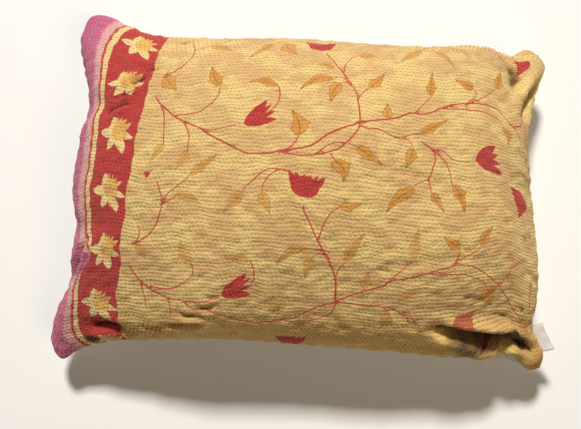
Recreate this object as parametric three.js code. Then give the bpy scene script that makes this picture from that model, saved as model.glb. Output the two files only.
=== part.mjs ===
// A filled kantha cushion lying on its back, printed face up, with a folded cloth label in one side seam.
// Millimetres, +X along the cushion, +Y across it, +Z up, the surface it lies on at Z = 0.
import * as THREE from "three";

// Cloth of the cover, seam to seam, laid flat
const CLOTH_LENGTH = 610;
const CLOTH_WIDTH = 457;

// Filled form: height of each face over the seam, and how square its section is
const CROWN_FRONT = 100;
const CROWN_BACK = 91;
const SECTION_POWER = 2.4;
const HALF_LENGTH = 270;
const HALF_WIDTH = 182;
const EAR_THINNING = 0.2;
const EAR_REACH = 60;
// Cloth lower than this lies flat on the surface
const FLAT_BELOW = 1.5;

// Running stitch: rows lie along the cushion, and every second one is a furrow in the solid
const STITCH_ROWS = 104;
const FURROW_DEPTH = 1.1;
const FURROW_FADE = 16;

// Unevenness of the filling
const LUMP = 2.0;
const SEAM_FADE = 30;

// Points of each face along the cushion, closer together towards its ends
const CELLS_LONG = 26;
const END_CROWDING = 0.6;
const SECTION_STEPS = 48;

// Folded label, caught in the seam of the right side
const LABEL_START = 0.046;
const LABEL_SPAN = 0.082;
const LABEL_WIDTH = 13;
const LABEL_THICKNESS = 1.0;
const LABEL_CLEARANCE = 0.35;
const LABEL_RISE = 0.05;
const LABEL_CURL = 1.2;
const LABEL_SKEW = -3;
const LABEL_CELLS = { along: 10, out: 5 };

// Seam line of each side. at: share of the side's cloth. x, y, z: where the seam lies.
const LEFT_SEAM = [
  { at: 0.0, x: -308, y: -214, z: 50 },
  { at: 0.04, x: -311, y: -199, z: 52 },
  { at: 0.13, x: -300, y: -159, z: 62 },
  { at: 0.2, x: -284, y: -130, z: 69 },
  { at: 0.3, x: -280, y: -90, z: 75 },
  { at: 0.37, x: -276, y: -61, z: 78 },
  { at: 0.47, x: -280, y: -20, z: 80 },
  { at: 0.6, x: -273, y: 34, z: 80 },
  { at: 0.76, x: -265, y: 99, z: 76 },
  { at: 0.82, x: -272, y: 124, z: 72 },
  { at: 0.95, x: -280, y: 179, z: 62 },
  { at: 1.0, x: -272, y: 200, z: 58 },
];
const RIGHT_SEAM = [
  { at: 0.0, x: 275, y: -229, z: 50 },
  { at: 0.03, x: 279, y: -216, z: 51 },
  { at: 0.08, x: 271, y: -197, z: 56 },
  { at: 0.12, x: 263, y: -182, z: 62 },
  { at: 0.2, x: 266, y: -150, z: 70 },
  { at: 0.3, x: 267, y: -114, z: 75 },
  { at: 0.5, x: 261, y: -40, z: 79 },
  { at: 0.7, x: 258, y: 34, z: 79 },
  { at: 0.8, x: 263, y: 72, z: 74 },
  { at: 0.92, x: 281, y: 118, z: 63 },
  { at: 0.965, x: 287, y: 134, z: 59 },
  { at: 1.0, x: 281, y: 146, z: 58 },
];
const BOTTOM_SEAM = [
  { at: 0.0, x: -308, y: -214, z: 50 },
  { at: 0.02, x: -297, y: -222, z: 51 },
  { at: 0.045, x: -281, y: -213, z: 54 },
  { at: 0.1, x: -249, y: -202, z: 62 },
  { at: 0.2, x: -190, y: -197, z: 71 },
  { at: 0.32, x: -120, y: -195, z: 76 },
  { at: 0.5, x: -18, y: -200, z: 78 },
  { at: 0.7, x: 100, y: -209, z: 74 },
  { at: 0.83, x: 180, y: -215, z: 67 },
  { at: 0.9, x: 222, y: -210, z: 65 },
  { at: 0.93, x: 238, y: -211, z: 63 },
  { at: 0.955, x: 249, y: -222, z: 57 },
  { at: 0.98, x: 263, y: -232, z: 51 },
  { at: 1.0, x: 275, y: -229, z: 50 },
];
const TOP_SEAM = [
  { at: 0.0, x: -272, y: 200, z: 58 },
  { at: 0.03, x: -256, y: 201, z: 60 },
  { at: 0.085, x: -225, y: 186, z: 66 },
  { at: 0.15, x: -188, y: 169, z: 73 },
  { at: 0.25, x: -133, y: 163, z: 77 },
  { at: 0.5, x: 5, y: 159, z: 80 },
  { at: 0.75, x: 143, y: 151, z: 77 },
  { at: 0.87, x: 209, y: 153, z: 71 },
  { at: 0.915, x: 230, y: 148, z: 67 },
  { at: 0.937, x: 243, y: 145, z: 65 },
  { at: 0.965, x: 263, y: 154, z: 60 },
  { at: 1.0, x: 281, y: 146, z: 58 },
];

// Folds of the cloth. u, v: cloth measures from the middle. bow: how far the line curves.
// sink: depth along the normal, below 0 for a swell. wide: half-width. lip: share raised beside it.
const FRONT_FOLDS = [
  { name: "lower right fold", u0: 157, v0: -163, u1: 220, v1: -188, bow: 0, sink: 23, wide: 7.5, lip: 0.25 },
  { name: "fold at the ear", u0: 202, v0: -186, u1: 274, v1: -193, bow: -6, sink: 27, wide: 10, lip: 0.25 },
  { name: "roll under it", u0: 154, v0: -202, u1: 230, v1: -211, bow: 0, sink: -3, wide: 7, lip: 0 },
  { name: "end of the roll", u0: 239, v0: -222, u1: 247, v1: -203, bow: 0, sink: 9, wide: 6.5, lip: 0.1 },
  { name: "right side dent", u0: 270, v0: 108, u1: 296, v1: 176, bow: 2, sink: 9, wide: 7, lip: 0.3 },
  { name: "top right notch", u0: 247, v0: 208, u1: 254, v1: 146, bow: 2, sink: 6, wide: 11, lip: 0.2 },
  { name: "lower left tuck", u0: -285, v0: -127, u1: -249, v1: -71, bow: 2, sink: 3.5, wide: 5, lip: 0.5 },
  { name: "left ear hollow", u0: -240, v0: -184, u1: -196, v1: -190, bow: 2, sink: 9, wide: 9, lip: 0.25 },
  { name: "upper left crease", u0: -234, v0: 92, u1: -184, v1: 134, bow: 1, sink: 3.2, wide: 5, lip: 0.6 },
  { name: "upper crease", u0: -204, v0: 137, u1: -166, v1: 142, bow: 1, sink: 2, wide: 5, lip: 0.5 },
  { name: "short lower crease", u0: -244, v0: 73, u1: -217, v1: 93, bow: 1, sink: 2.4, wide: 5, lip: 0.5 },
  { name: "low tuck", u0: -145, v0: -178, u1: -102, v1: -174, bow: -1, sink: 3, wide: 4, lip: 0.6 },
  { name: "next low tuck", u0: -125, v0: -161, u1: -96, v1: -163, bow: -1, sink: 2.6, wide: 4, lip: 0.6 },
  { name: "third low tuck", u0: -103, v0: -152, u1: -84, v1: -149, bow: -1, sink: 2.2, wide: 4, lip: 0.6 },
  { name: "right crease", u0: 78, v0: 26, u1: 156, v1: 8, bow: -3, sink: 1, wide: 6, lip: 0.5 },
  { name: "low right crease", u0: 76, v0: -98, u1: 170, v1: -76, bow: 4, sink: 1.2, wide: 6, lip: 0.5 },
  { name: "left waist", u0: -300, v0: 88, u1: -232, v1: 84, bow: 2, sink: 3.5, wide: 13, lip: 0.2 },
  { name: "lower left waist", u0: -300, v0: -64, u1: -226, v1: -58, bow: 2, sink: 3, wide: 13, lip: 0.2 },
  { name: "right waist", u0: 300, v0: 22, u1: 244, v1: 16, bow: 2, sink: 2.6, wide: 12, lip: 0.3 },
];
const BACK_FOLDS = [
  { name: "ear rolled up", u0: 232, v0: -214, u1: 280, v1: -217, bow: 0, sink: -15, wide: 11, lip: 0 },
  { name: "left upper ear", u0: -288, v0: 196, u1: -206, v1: 136, bow: 4, sink: 5, wide: 10, lip: 0.3 },
  { name: "left lower ear", u0: -288, v0: -196, u1: -200, v1: -132, bow: -4, sink: 5, wide: 10, lip: 0.3 },
  { name: "right upper ear", u0: 288, v0: 196, u1: 206, v1: 138, bow: -4, sink: 5, wide: 10, lip: 0.3 },
  { name: "right lower ear", u0: 276, v0: -176, u1: 200, v1: -132, bow: 4, sink: 4, wide: 10, lip: 0.3 },
  { name: "top tuck", u0: -60, v0: 222, u1: -44, v1: 150, bow: 3, sink: 3, wide: 12, lip: 0.3 },
  { name: "bottom tuck", u0: 70, v0: -222, u1: 58, v1: -150, bow: -3, sink: 3, wide: 12, lip: 0.3 },
];

// Smooth curve through the rows of a seam, as [x, y, z] at a share of its length
function seamPoint(rows, share) {
  let k = 0;
  while (k < rows.length - 2 && share >= rows[k + 1].at) k += 1;
  const from = rows[k];
  const to = rows[k + 1];
  const step = to.at - from.at;
  const t = (share - from.at) / step;
  const rise = (axis, n) => {
    const slope = (m) => (rows[m + 1][axis] - rows[m][axis]) / (rows[m + 1].at - rows[m].at);
    if (n === 0) return slope(0);
    if (n === rows.length - 1) return slope(n - 1);
    const before = rows[n].at - rows[n - 1].at;
    const after = rows[n + 1].at - rows[n].at;
    return (slope(n - 1) * after + slope(n) * before) / (before + after);
  };
  return ["x", "y", "z"].map((axis) => {
    const start = (2 * t ** 3 - 3 * t ** 2 + 1) * from[axis];
    const end = (3 * t ** 2 - 2 * t ** 3) * to[axis];
    const leave = (t ** 3 - 2 * t ** 2 + t) * step * rise(axis, k);
    const arrive = (t ** 3 - t ** 2) * step * rise(axis, k + 1);
    return start + end + leave + arrive;
  });
}

// Plan distance, 0 to 1, reached by a share of the section's arc, for a crown height as a share of the reach
function planReach(share, crown) {
  const run = [0];
  const point = (k) => {
    const turn = (Math.PI / 2) * (k / SECTION_STEPS);
    return [Math.sin(turn) ** (2 / SECTION_POWER), crown * Math.cos(turn)];
  };
  for (let k = 1; k <= SECTION_STEPS; k += 1) {
    const [x0, z0] = point(k - 1);
    const [x1, z1] = point(k);
    run.push(run[k - 1] + Math.hypot(x1 - x0, z1 - z0));
  }
  const wanted = share * run[SECTION_STEPS];
  let k = 0;
  while (k < SECTION_STEPS - 1 && run[k + 1] <= wanted) k += 1;
  const part = (wanted - run[k]) / (run[k + 1] - run[k]);
  const turn = (Math.PI / 2) * ((k + part) / SECTION_STEPS);
  return Math.sin(turn) ** (2 / SECTION_POWER);
}

const crownShare = (x) => Math.sqrt(Math.max(0, 1 - Math.abs(x) ** SECTION_POWER));

// Point of the smooth filled form, for cloth shares s and t from -1 to 1
function formPoint(s, t, side) {
  const height = side > 0 ? CROWN_FRONT : CROWN_BACK;
  let x = s;
  let y = t;
  for (let pass = 0; pass < 4; pass += 1) {
    const nextX = Math.sign(s) * planReach(Math.abs(s), (height * crownShare(y)) / HALF_LENGTH);
    const nextY = Math.sign(t) * planReach(Math.abs(t), (height * crownShare(x)) / HALF_WIDTH);
    x = nextX;
    y = nextY;
  }
  const a = (x + 1) / 2;
  const b = (y + 1) / 2;
  const left = seamPoint(LEFT_SEAM, b);
  const right = seamPoint(RIGHT_SEAM, b);
  const bottom = seamPoint(BOTTOM_SEAM, a);
  const top = seamPoint(TOP_SEAM, a);
  const corners = [
    seamPoint(LEFT_SEAM, 0),
    seamPoint(RIGHT_SEAM, 0),
    seamPoint(LEFT_SEAM, 1),
    seamPoint(RIGHT_SEAM, 1),
  ];
  const shares = [(1 - a) * (1 - b), a * (1 - b), (1 - a) * b, a * b];
  const [planX, planY] = [0, 1].map((axis) => {
    const ruled = (1 - a) * left[axis] + a * right[axis] + (1 - b) * bottom[axis] + b * top[axis];
    return ruled - corners.reduce((sum, corner, n) => sum + shares[n] * corner[axis], 0);
  });
  // The seam's height carries inwards from the nearest side
  const pulls = [a, 1 - a, b, 1 - b].map((distance) => 1 / (distance ** 2 + 1e-9));
  const heights = [left[2], right[2], bottom[2], top[2]];
  const pulled = heights.reduce((sum, z, n) => sum + z * pulls[n], 0);
  const seamHeight = pulled / pulls.reduce((sum, pull) => sum + pull, 0);
  const toCorner = Math.hypot((1 - Math.abs(x)) * HALF_LENGTH, (1 - Math.abs(y)) * HALF_WIDTH);
  const ear = 1 - EAR_THINNING * Math.exp(-((toCorner / EAR_REACH) ** 2));
  return [planX, planY, seamHeight + side * height * crownShare(x) * crownShare(y) * ear];
}

// Depth of one fold at a cloth point
function foldDepth(fold, u, v) {
  const du = fold.u1 - fold.u0;
  const dv = fold.v1 - fold.v0;
  const length = Math.hypot(du, dv);
  const along = ((u - fold.u0) * du + (v - fold.v0) * dv) / length ** 2;
  const t = Math.min(1, Math.max(0, along));
  const bow = fold.bow * Math.sin(Math.PI * t);
  const across = ((v - fold.v0) * du - (u - fold.u0) * dv) / length - bow;
  const past = (along - t) * length;
  const d = Math.hypot(across, past) / fold.wide;
  const valley = Math.exp(-(d ** 2));
  const lip = fold.lip * Math.exp(-(((d - 1.9) / 0.9) ** 2));
  const taper = Math.min(1, 0.25 + 1.3 * Math.sin(Math.PI * t));
  return fold.sink * taper * (valley - lip);
}

// How far the cloth stands off the smooth form, along its normal
function relief(u, v, side) {
  const toSeam = Math.min(CLOTH_LENGTH / 2 - Math.abs(u), CLOTH_WIDTH / 2 - Math.abs(v));
  const fade = 1 - Math.exp(-((toSeam / SEAM_FADE) ** 2));
  const near = 1 - Math.exp(-((toSeam / 9) ** 2));
  const lumps = Math.sin(u / 68 + 0.6) * Math.sin(v / 55 + 1.1) + 0.6 * Math.sin(u / 31 - v / 44 + side);
  const folds = side > 0 ? FRONT_FOLDS : BACK_FOLDS;
  const depth = folds.reduce((sum, fold) => sum + foldDepth(fold, u, v), 0);
  return LUMP * lumps * fade - depth * near;
}

// Furrows of the running stitch, deepest on every second row
function furrow(u, row) {
  const v = (row / STITCH_ROWS - 0.5) * CLOTH_WIDTH;
  const toSeam = Math.min(CLOTH_LENGTH / 2 - Math.abs(u), CLOTH_WIDTH / 2 - Math.abs(v));
  const fade = 1 - Math.exp(-((toSeam / FURROW_FADE) ** 2));
  return (row % 2 === 0 ? -0.5 : 0.5) * FURROW_DEPTH * fade;
}

// Points of one face, row by row
function facePoints(side) {
  const columns = [];
  for (let i = 0; i <= CELLS_LONG; i += 1) {
    const q = (2 * i) / CELLS_LONG - 1;
    const s = q + (END_CROWDING * Math.sin(Math.PI * q)) / Math.PI;
    const column = [];
    for (let j = 0; j <= STITCH_ROWS; j += 1) {
      const t = (2 * j) / STITCH_ROWS - 1;
      column.push({ s, t, row: j, point: new THREE.Vector3(...formPoint(s, t, side)) });
    }
    columns.push(column);
  }
  const at = (i, j) => columns[i][j].point;
  const moved = columns.map((column, i) => column.map((cell, j) => {
    const alongX = at(Math.min(i + 1, CELLS_LONG), j).clone().sub(at(Math.max(i - 1, 0), j));
    const alongY = at(i, Math.min(j + 1, STITCH_ROWS)).clone().sub(at(i, Math.max(j - 1, 0)));
    const normal = alongX.cross(alongY).normalize().multiplyScalar(side);
    const u = (cell.s * CLOTH_LENGTH) / 2;
    const v = (cell.t * CLOTH_WIDTH) / 2;
    const off = relief(u, v, side) + furrow(u, cell.row);
    const onSeam = i === 0 || j === 0 || i === CELLS_LONG || j === STITCH_ROWS;
    const point = cell.point.clone();
    if (!onSeam) point.addScaledVector(normal, off);
    if (point.z < FLAT_BELOW) point.z = 0;
    return point;
  }));
  return moved;
}

// Closed cushion: both faces share the points of the seam
function cushionGeometry() {
  const front = facePoints(1);
  const back = facePoints(-1);
  const positions = [];
  const number = (point) => {
    positions.push(point.x, point.y, point.z);
    return positions.length / 3 - 1;
  };
  const frontIds = front.map((column) => column.map(number));
  const backIds = back.map((column, i) => column.map((point, j) => {
    const onSeam = i === 0 || j === 0 || i === CELLS_LONG || j === STITCH_ROWS;
    return onSeam ? frontIds[i][j] : number(point);
  }));
  const index = [];
  const cell = (ids, i, j, side) => {
    const [a, b, c, d] = [ids[i][j], ids[i + 1][j], ids[i + 1][j + 1], ids[i][j + 1]];
    const towardsCorner = (i < CELLS_LONG / 2) === (j < STITCH_ROWS / 2);
    const faces = towardsCorner ? [[a, b, c], [a, c, d]] : [[a, b, d], [b, c, d]];
    for (const [p, q, r] of faces) index.push(...(side > 0 ? [p, q, r] : [p, r, q]));
  };
  for (let i = 0; i < CELLS_LONG; i += 1) {
    for (let j = 0; j < STITCH_ROWS; j += 1) {
      cell(frontIds, i, j, 1);
      cell(backIds, i, j, -1);
    }
  }
  return closedGeometry(positions, index);
}

// Folded label: a thin curved sheet that starts just off the seam
function labelGeometry() {
  const { along, out } = LABEL_CELLS;
  const positions = [];
  const ids = { over: [], under: [] };
  const first = new THREE.Vector3(...seamPoint(RIGHT_SEAM, LABEL_START));
  const last = new THREE.Vector3(...seamPoint(RIGHT_SEAM, LABEL_START + LABEL_SPAN));
  const tangent = last.sub(first).normalize();
  const outward = new THREE.Vector3(tangent.y, -tangent.x, LABEL_RISE).normalize();
  const normal = new THREE.Vector3().crossVectors(outward, tangent).normalize();
  for (const [layer, side] of [["over", 1], ["under", -1]]) {
    for (let i = 0; i <= along; i += 1) {
      const share = LABEL_START + (LABEL_SPAN * i) / along;
      const root = new THREE.Vector3(...seamPoint(RIGHT_SEAM, share));
      const column = [];
      for (let j = 0; j <= out; j += 1) {
        const part = j / out;
        const lift = LABEL_CURL * Math.sin(Math.PI * part * 0.8) + (side * LABEL_THICKNESS) / 2;
        const point = root.clone()
          .addScaledVector(outward, LABEL_CLEARANCE + LABEL_WIDTH * part)
          .addScaledVector(tangent, LABEL_SKEW * part)
          .addScaledVector(normal, lift);
        positions.push(point.x, point.y, point.z);
        column.push(positions.length / 3 - 1);
      }
      ids[layer].push(column);
    }
  }
  const index = [];
  const quad = (a, b, c, d) => index.push(a, b, c, a, c, d);
  const { over, under } = ids;
  for (let i = 0; i < along; i += 1) {
    for (let j = 0; j < out; j += 1) {
      quad(over[i][j], over[i][j + 1], over[i + 1][j + 1], over[i + 1][j]);
      quad(under[i][j], under[i + 1][j], under[i + 1][j + 1], under[i][j + 1]);
    }
    quad(over[i][0], over[i + 1][0], under[i + 1][0], under[i][0]);
    quad(over[i][out], under[i][out], under[i + 1][out], over[i + 1][out]);
  }
  for (let j = 0; j < out; j += 1) {
    quad(over[0][j], under[0][j], under[0][j + 1], over[0][j + 1]);
    quad(over[along][j], over[along][j + 1], under[along][j + 1], under[along][j]);
  }
  return closedGeometry(positions, index);
}

function closedGeometry(positions, index) {
  const geometry = new THREE.BufferGeometry();
  geometry.setAttribute("position", new THREE.Float32BufferAttribute(positions, 3));
  geometry.setIndex(index);
  geometry.computeVertexNormals();
  return geometry;
}

function piece(name, geometry, color, roughness) {
  const mesh = new THREE.Mesh(geometry, new THREE.MeshStandardMaterial({ color, roughness, metalness: 0 }));
  mesh.name = name;
  return mesh;
}

const cushion = piece("cushion", cushionGeometry(), 0xd8b878, 0.92);
const label = piece("label", labelGeometry(), 0xeeebe6, 0.8);

// The pair is moved so that its box stands centred over the origin
const group = new THREE.Group();
group.add(cushion, label);
const box = new THREE.Box3().setFromObject(group);
const middle = box.getCenter(new THREE.Vector3());
for (const mesh of [cushion, label]) mesh.geometry.translate(-middle.x, -middle.y, -box.min.z);

export default group;
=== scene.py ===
"""Kantha cushion: a block-printed, hand-quilted cover on a full pad, with a folded label in a side seam.

Every measure is in millimetres until a mesh is made, and u, v are cloth measures from the middle of a panel:
u runs along the rows of stitching, v across them.
"""

import logging
import math
from dataclasses import dataclass, field
from enum import Enum
from functools import reduce
from typing import Iterable, Sequence

import bpy
import numpy as np
from mathutils import Matrix, Vector


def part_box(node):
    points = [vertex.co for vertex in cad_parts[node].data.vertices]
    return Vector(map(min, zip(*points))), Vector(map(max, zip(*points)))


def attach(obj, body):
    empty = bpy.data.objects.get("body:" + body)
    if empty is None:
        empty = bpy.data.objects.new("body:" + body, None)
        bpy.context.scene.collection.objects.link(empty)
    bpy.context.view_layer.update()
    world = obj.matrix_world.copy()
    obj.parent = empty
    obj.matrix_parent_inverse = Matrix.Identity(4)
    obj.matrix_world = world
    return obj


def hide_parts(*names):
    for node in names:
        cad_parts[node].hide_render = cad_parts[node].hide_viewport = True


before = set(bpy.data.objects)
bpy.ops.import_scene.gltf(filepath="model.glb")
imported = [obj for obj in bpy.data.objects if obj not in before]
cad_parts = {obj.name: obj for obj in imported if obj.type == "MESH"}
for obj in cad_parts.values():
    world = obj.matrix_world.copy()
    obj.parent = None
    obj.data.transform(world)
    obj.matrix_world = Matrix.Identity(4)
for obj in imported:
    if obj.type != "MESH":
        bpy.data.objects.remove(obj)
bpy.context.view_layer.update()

LOG = logging.getLogger("kantha_cushion")
MM = 0.001
TINY = 1e-12
ROW_SHIFT = 0.47
Grid = np.ndarray
Spot = tuple[float, float, float]
Colour = tuple[float, float, float, float]


class Side(Enum):
    """The two panels of the cover."""

    FRONT = 1
    BACK = -1


class Blend(Enum):
    """How one colour lies over another."""

    LAID = "MIX"
    SHADED = "MULTIPLY"


@dataclass(frozen=True)
class SeamRow:
    """One measured place of a side's seam line.

    Args:
        at: Share of the side's cloth, from 0 to 1.
        x: Place along the cushion.
        y: Place across the cushion.
        z: Height over the surface it lies on.
    """

    at: float
    x: float
    y: float
    z: float


@dataclass(frozen=True)
class Fold:
    """One crease, tuck or swell of the cloth.

    Args:
        name: What a maker would call it.
        u0, v0, u1, v1: Cloth measures of its two ends.
        bow: How far its line curves.
        sink: Depth along the cloth's normal, below 0 for a swell.
        wide: Half its width.
        lip: Share of its depth that is raised beside it.
    """

    name: str
    u0: float
    v0: float
    u1: float
    v1: float
    bow: float
    sink: float
    wide: float
    lip: float


@dataclass(frozen=True)
class Vine:
    """One printed stem: the places it runs through, and its width at both ends."""

    places: tuple[tuple[float, float], ...]
    start: float
    end: float


@dataclass(frozen=True)
class Leaf:
    """One printed leaf, from stalk to tip.

    Args:
        u0, v0: The stalk end.
        u1, v1: The tip.
        half: Half its width.
        bend: How far its spine curves, to the left of its direction.
        barbs: How much its two side points show, from 0 for none.
        ink: How strongly it is printed, from 0 to 1.
    """

    u0: float
    v0: float
    u1: float
    v1: float
    half: float
    bend: float = 0.0
    barbs: float = 0.0
    ink: float = 1.0


@dataclass(frozen=True)
class Bloom:
    """One red flower, from the foot of its cup.

    Args:
        u, v: The foot.
        turn: Direction of its axis in degrees from u.
        length: Foot to petal tips.
        half: Half its width at the tips.
        full: 0 for a narrow flower of four petals, 1 for an open one of six.
        ink: How strongly it is printed, from 0 to 1.
    """

    u: float
    v: float
    turn: float
    length: float
    half: float
    full: float
    ink: float = 1.0


@dataclass(frozen=True)
class Lotus:
    """One lotus of the border, and how the cloth pulls it out of shape.

    Args:
        u, v: Its middle.
        wide: How far its own width is stretched along u.
        lean: How far its own height leans along u.
        rise: How far its own width climbs along v.
        tall: How far its own height is stretched along v.
    """

    u: float
    v: float
    wide: float
    lean: float
    rise: float
    tall: float


@dataclass(frozen=True)
class StainOrShadow:
    """One of the stains or painted shadows: what it is, its middle, its reach, how strong it is and its
    colour.
    """

    name: str
    u: float
    v: float
    reach: float
    share: float
    red_green_blue: tuple[int, int, int]
    blend: Blend = Blend.LAID

    @property
    def colour(self) -> Colour:
        """Its colour for a shader socket."""
        return srgb(*self.red_green_blue)


def rows_of(kind: type, *rows: tuple) -> tuple:
    """One record of a kind for each row of its values."""
    return tuple(kind(*row) for row in rows)


LEFT_SEAM = rows_of(
    SeamRow,
    (0, -308, -214, 50), (0.04, -311, -199, 52), (0.13, -300, -159, 62), (0.2, -284, -130, 69),
    (0.3, -280, -90, 75), (0.37, -276, -61, 78), (0.47, -280, -20, 80), (0.6, -273, 34, 80),
    (0.76, -265, 99, 76), (0.82, -272, 124, 72), (0.95, -280, 179, 62), (1, -272, 200, 58),
)
RIGHT_SEAM = rows_of(
    SeamRow,
    (0, 275, -229, 50), (0.03, 279, -216, 51), (0.08, 271, -197, 56), (0.12, 263, -182, 62),
    (0.2, 266, -150, 70), (0.3, 267, -114, 75), (0.5, 261, -40, 79), (0.7, 258, 34, 79), (0.8, 263, 72, 74),
    (0.92, 281, 118, 63), (0.965, 287, 134, 59), (1, 281, 146, 58),
)
BOTTOM_SEAM = rows_of(
    SeamRow,
    (0, -308, -214, 50), (0.02, -297, -222, 51), (0.045, -281, -213, 54), (0.1, -249, -202, 62),
    (0.2, -190, -197, 71), (0.32, -120, -195, 76), (0.5, -18, -200, 78), (0.7, 100, -209, 74),
    (0.83, 180, -215, 67), (0.9, 222, -210, 65), (0.93, 238, -211, 63), (0.955, 249, -222, 57),
    (0.98, 263, -232, 51), (1, 275, -229, 50),
)
TOP_SEAM = rows_of(
    SeamRow,
    (0, -272, 200, 58), (0.03, -256, 201, 60), (0.085, -225, 186, 66), (0.15, -188, 169, 73),
    (0.25, -133, 163, 77), (0.5, 5, 159, 80), (0.75, 143, 151, 77), (0.87, 209, 153, 71),
    (0.915, 230, 148, 67), (0.937, 243, 145, 65), (0.965, 263, 154, 60), (1, 281, 146, 58),
)

FRONT_FOLDS = rows_of(
    Fold,
    ("lower right fold", 157, -163, 220, -188, 0, 23, 7.5, 0.25),
    ("fold at the ear", 202, -186, 274, -193, -6, 27, 10, 0.25),
    ("roll under it", 154, -202, 230, -211, 0, -3, 7, 0),
    ("end of the roll", 239, -222, 247, -203, 0, 9, 6.5, 0.1),
    ("right side dent", 270, 108, 296, 176, 2, 9, 7, 0.3),
    ("top right notch", 247, 208, 254, 146, 2, 6, 11, 0.2),
    ("lower left tuck", -285, -127, -249, -71, 2, 3.5, 5, 0.5),
    ("left ear hollow", -240, -184, -196, -190, 2, 9, 9, 0.25),
    ("upper left crease", -234, 92, -184, 134, 1, 3.2, 5, 0.6),
    ("upper crease", -204, 137, -166, 142, 1, 2, 5, 0.5),
    ("short lower crease", -244, 73, -217, 93, 1, 2.4, 5, 0.5),
    ("low tuck", -145, -178, -102, -174, -1, 3, 4, 0.6),
    ("next low tuck", -125, -161, -96, -163, -1, 2.6, 4, 0.6),
    ("third low tuck", -103, -152, -84, -149, -1, 2.2, 4, 0.6),
    ("right crease", 78, 26, 156, 8, -3, 1, 6, 0.5),
    ("low right crease", 76, -98, 170, -76, 4, 1.2, 6, 0.5),
    ("left waist", -300, 88, -232, 84, 2, 3.5, 13, 0.2),
    ("lower left waist", -300, -64, -226, -58, 2, 3, 13, 0.2),
    ("right waist", 300, 22, 244, 16, 2, 2.6, 12, 0.3),
)
FINE_FOLDS = rows_of(
    Fold,
    ("crease to the leaf", -211, 118, -188, 131, 1, 2, 2.4, 0.35),
    ("long thin crease", -228, 96, -197, 118, -1, 2.2, 2.4, 0.35),
    ("its short end", -241, 95, -229, 95, 0, 1.4, 2.4, 0.3),
    ("thin crease at the band", -240, 77, -211, 89, 2, 2, 2.4, 0.35),
    ("crease over the band", -191, 138, -172, 141, 0, 1.4, 2.4, 0.3),
    ("centre right crease", 90, 35, 107, 39, 0, 1.1, 2.6, 0.4),
    ("centre right crease two", 66, 9, 83, 7, -1, 1, 2.6, 0.4),
    ("centre right crease three", 97, 54, 116, 58, 0, 0.8, 2.6, 0.4),
    ("thin line under the leaf", 81, -93, 98, -97, 0, 1.2, 2.4, 0.4),
    ("line over the low vine", 163, -64, 179, -71, 0, 1, 2.4, 0.4),
    ("line by the low flower", 177, -123, 205, -134, 1, 1.2, 2.8, 0.4),
    ("flower crease", -95, -138, -77, -136, 0, 1.4, 2.4, 0.4),
    ("short crease by it", -79, -125, -69, -124, 0, 1, 2.2, 0.4),
    ("short end crease", -170, -186, -146, -180, 0, 1.2, 3.4, 0.6),
    ("right side pleat", 262, 60, 292, 44, 1, 1.4, 5, 0.5),
    ("right side pleat two", 258, -92, 292, -112, 1, 1.6, 5, 0.5),
    ("right side pleat three", 240, 26, 270, 30, 1, 1, 3.6, 0.5),
    ("low right ear line", 224, -153, 243, -161, 1, 1.4, 3.6, 0.5),
    ("top right ear line", 236, 120, 262, 150, 2, 1.3, 5, 0.5),
)
BACK_FOLDS = rows_of(
    Fold,
    ("ear rolled up", 232, -214, 280, -217, 0, -15, 11, 0),
    ("left upper ear", -288, 196, -206, 136, 4, 5, 10, 0.3),
    ("left lower ear", -288, -196, -200, -132, -4, 5, 10, 0.3),
    ("right upper ear", 288, 196, 206, 138, -4, 5, 10, 0.3),
    ("right lower ear", 276, -176, 200, -132, 4, 4, 10, 0.3),
    ("top tuck", -60, 222, -44, 150, 3, 3, 12, 0.3), ("bottom tuck", 70, -222, 58, -150, -3, 3, 12, 0.3),
)

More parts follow.
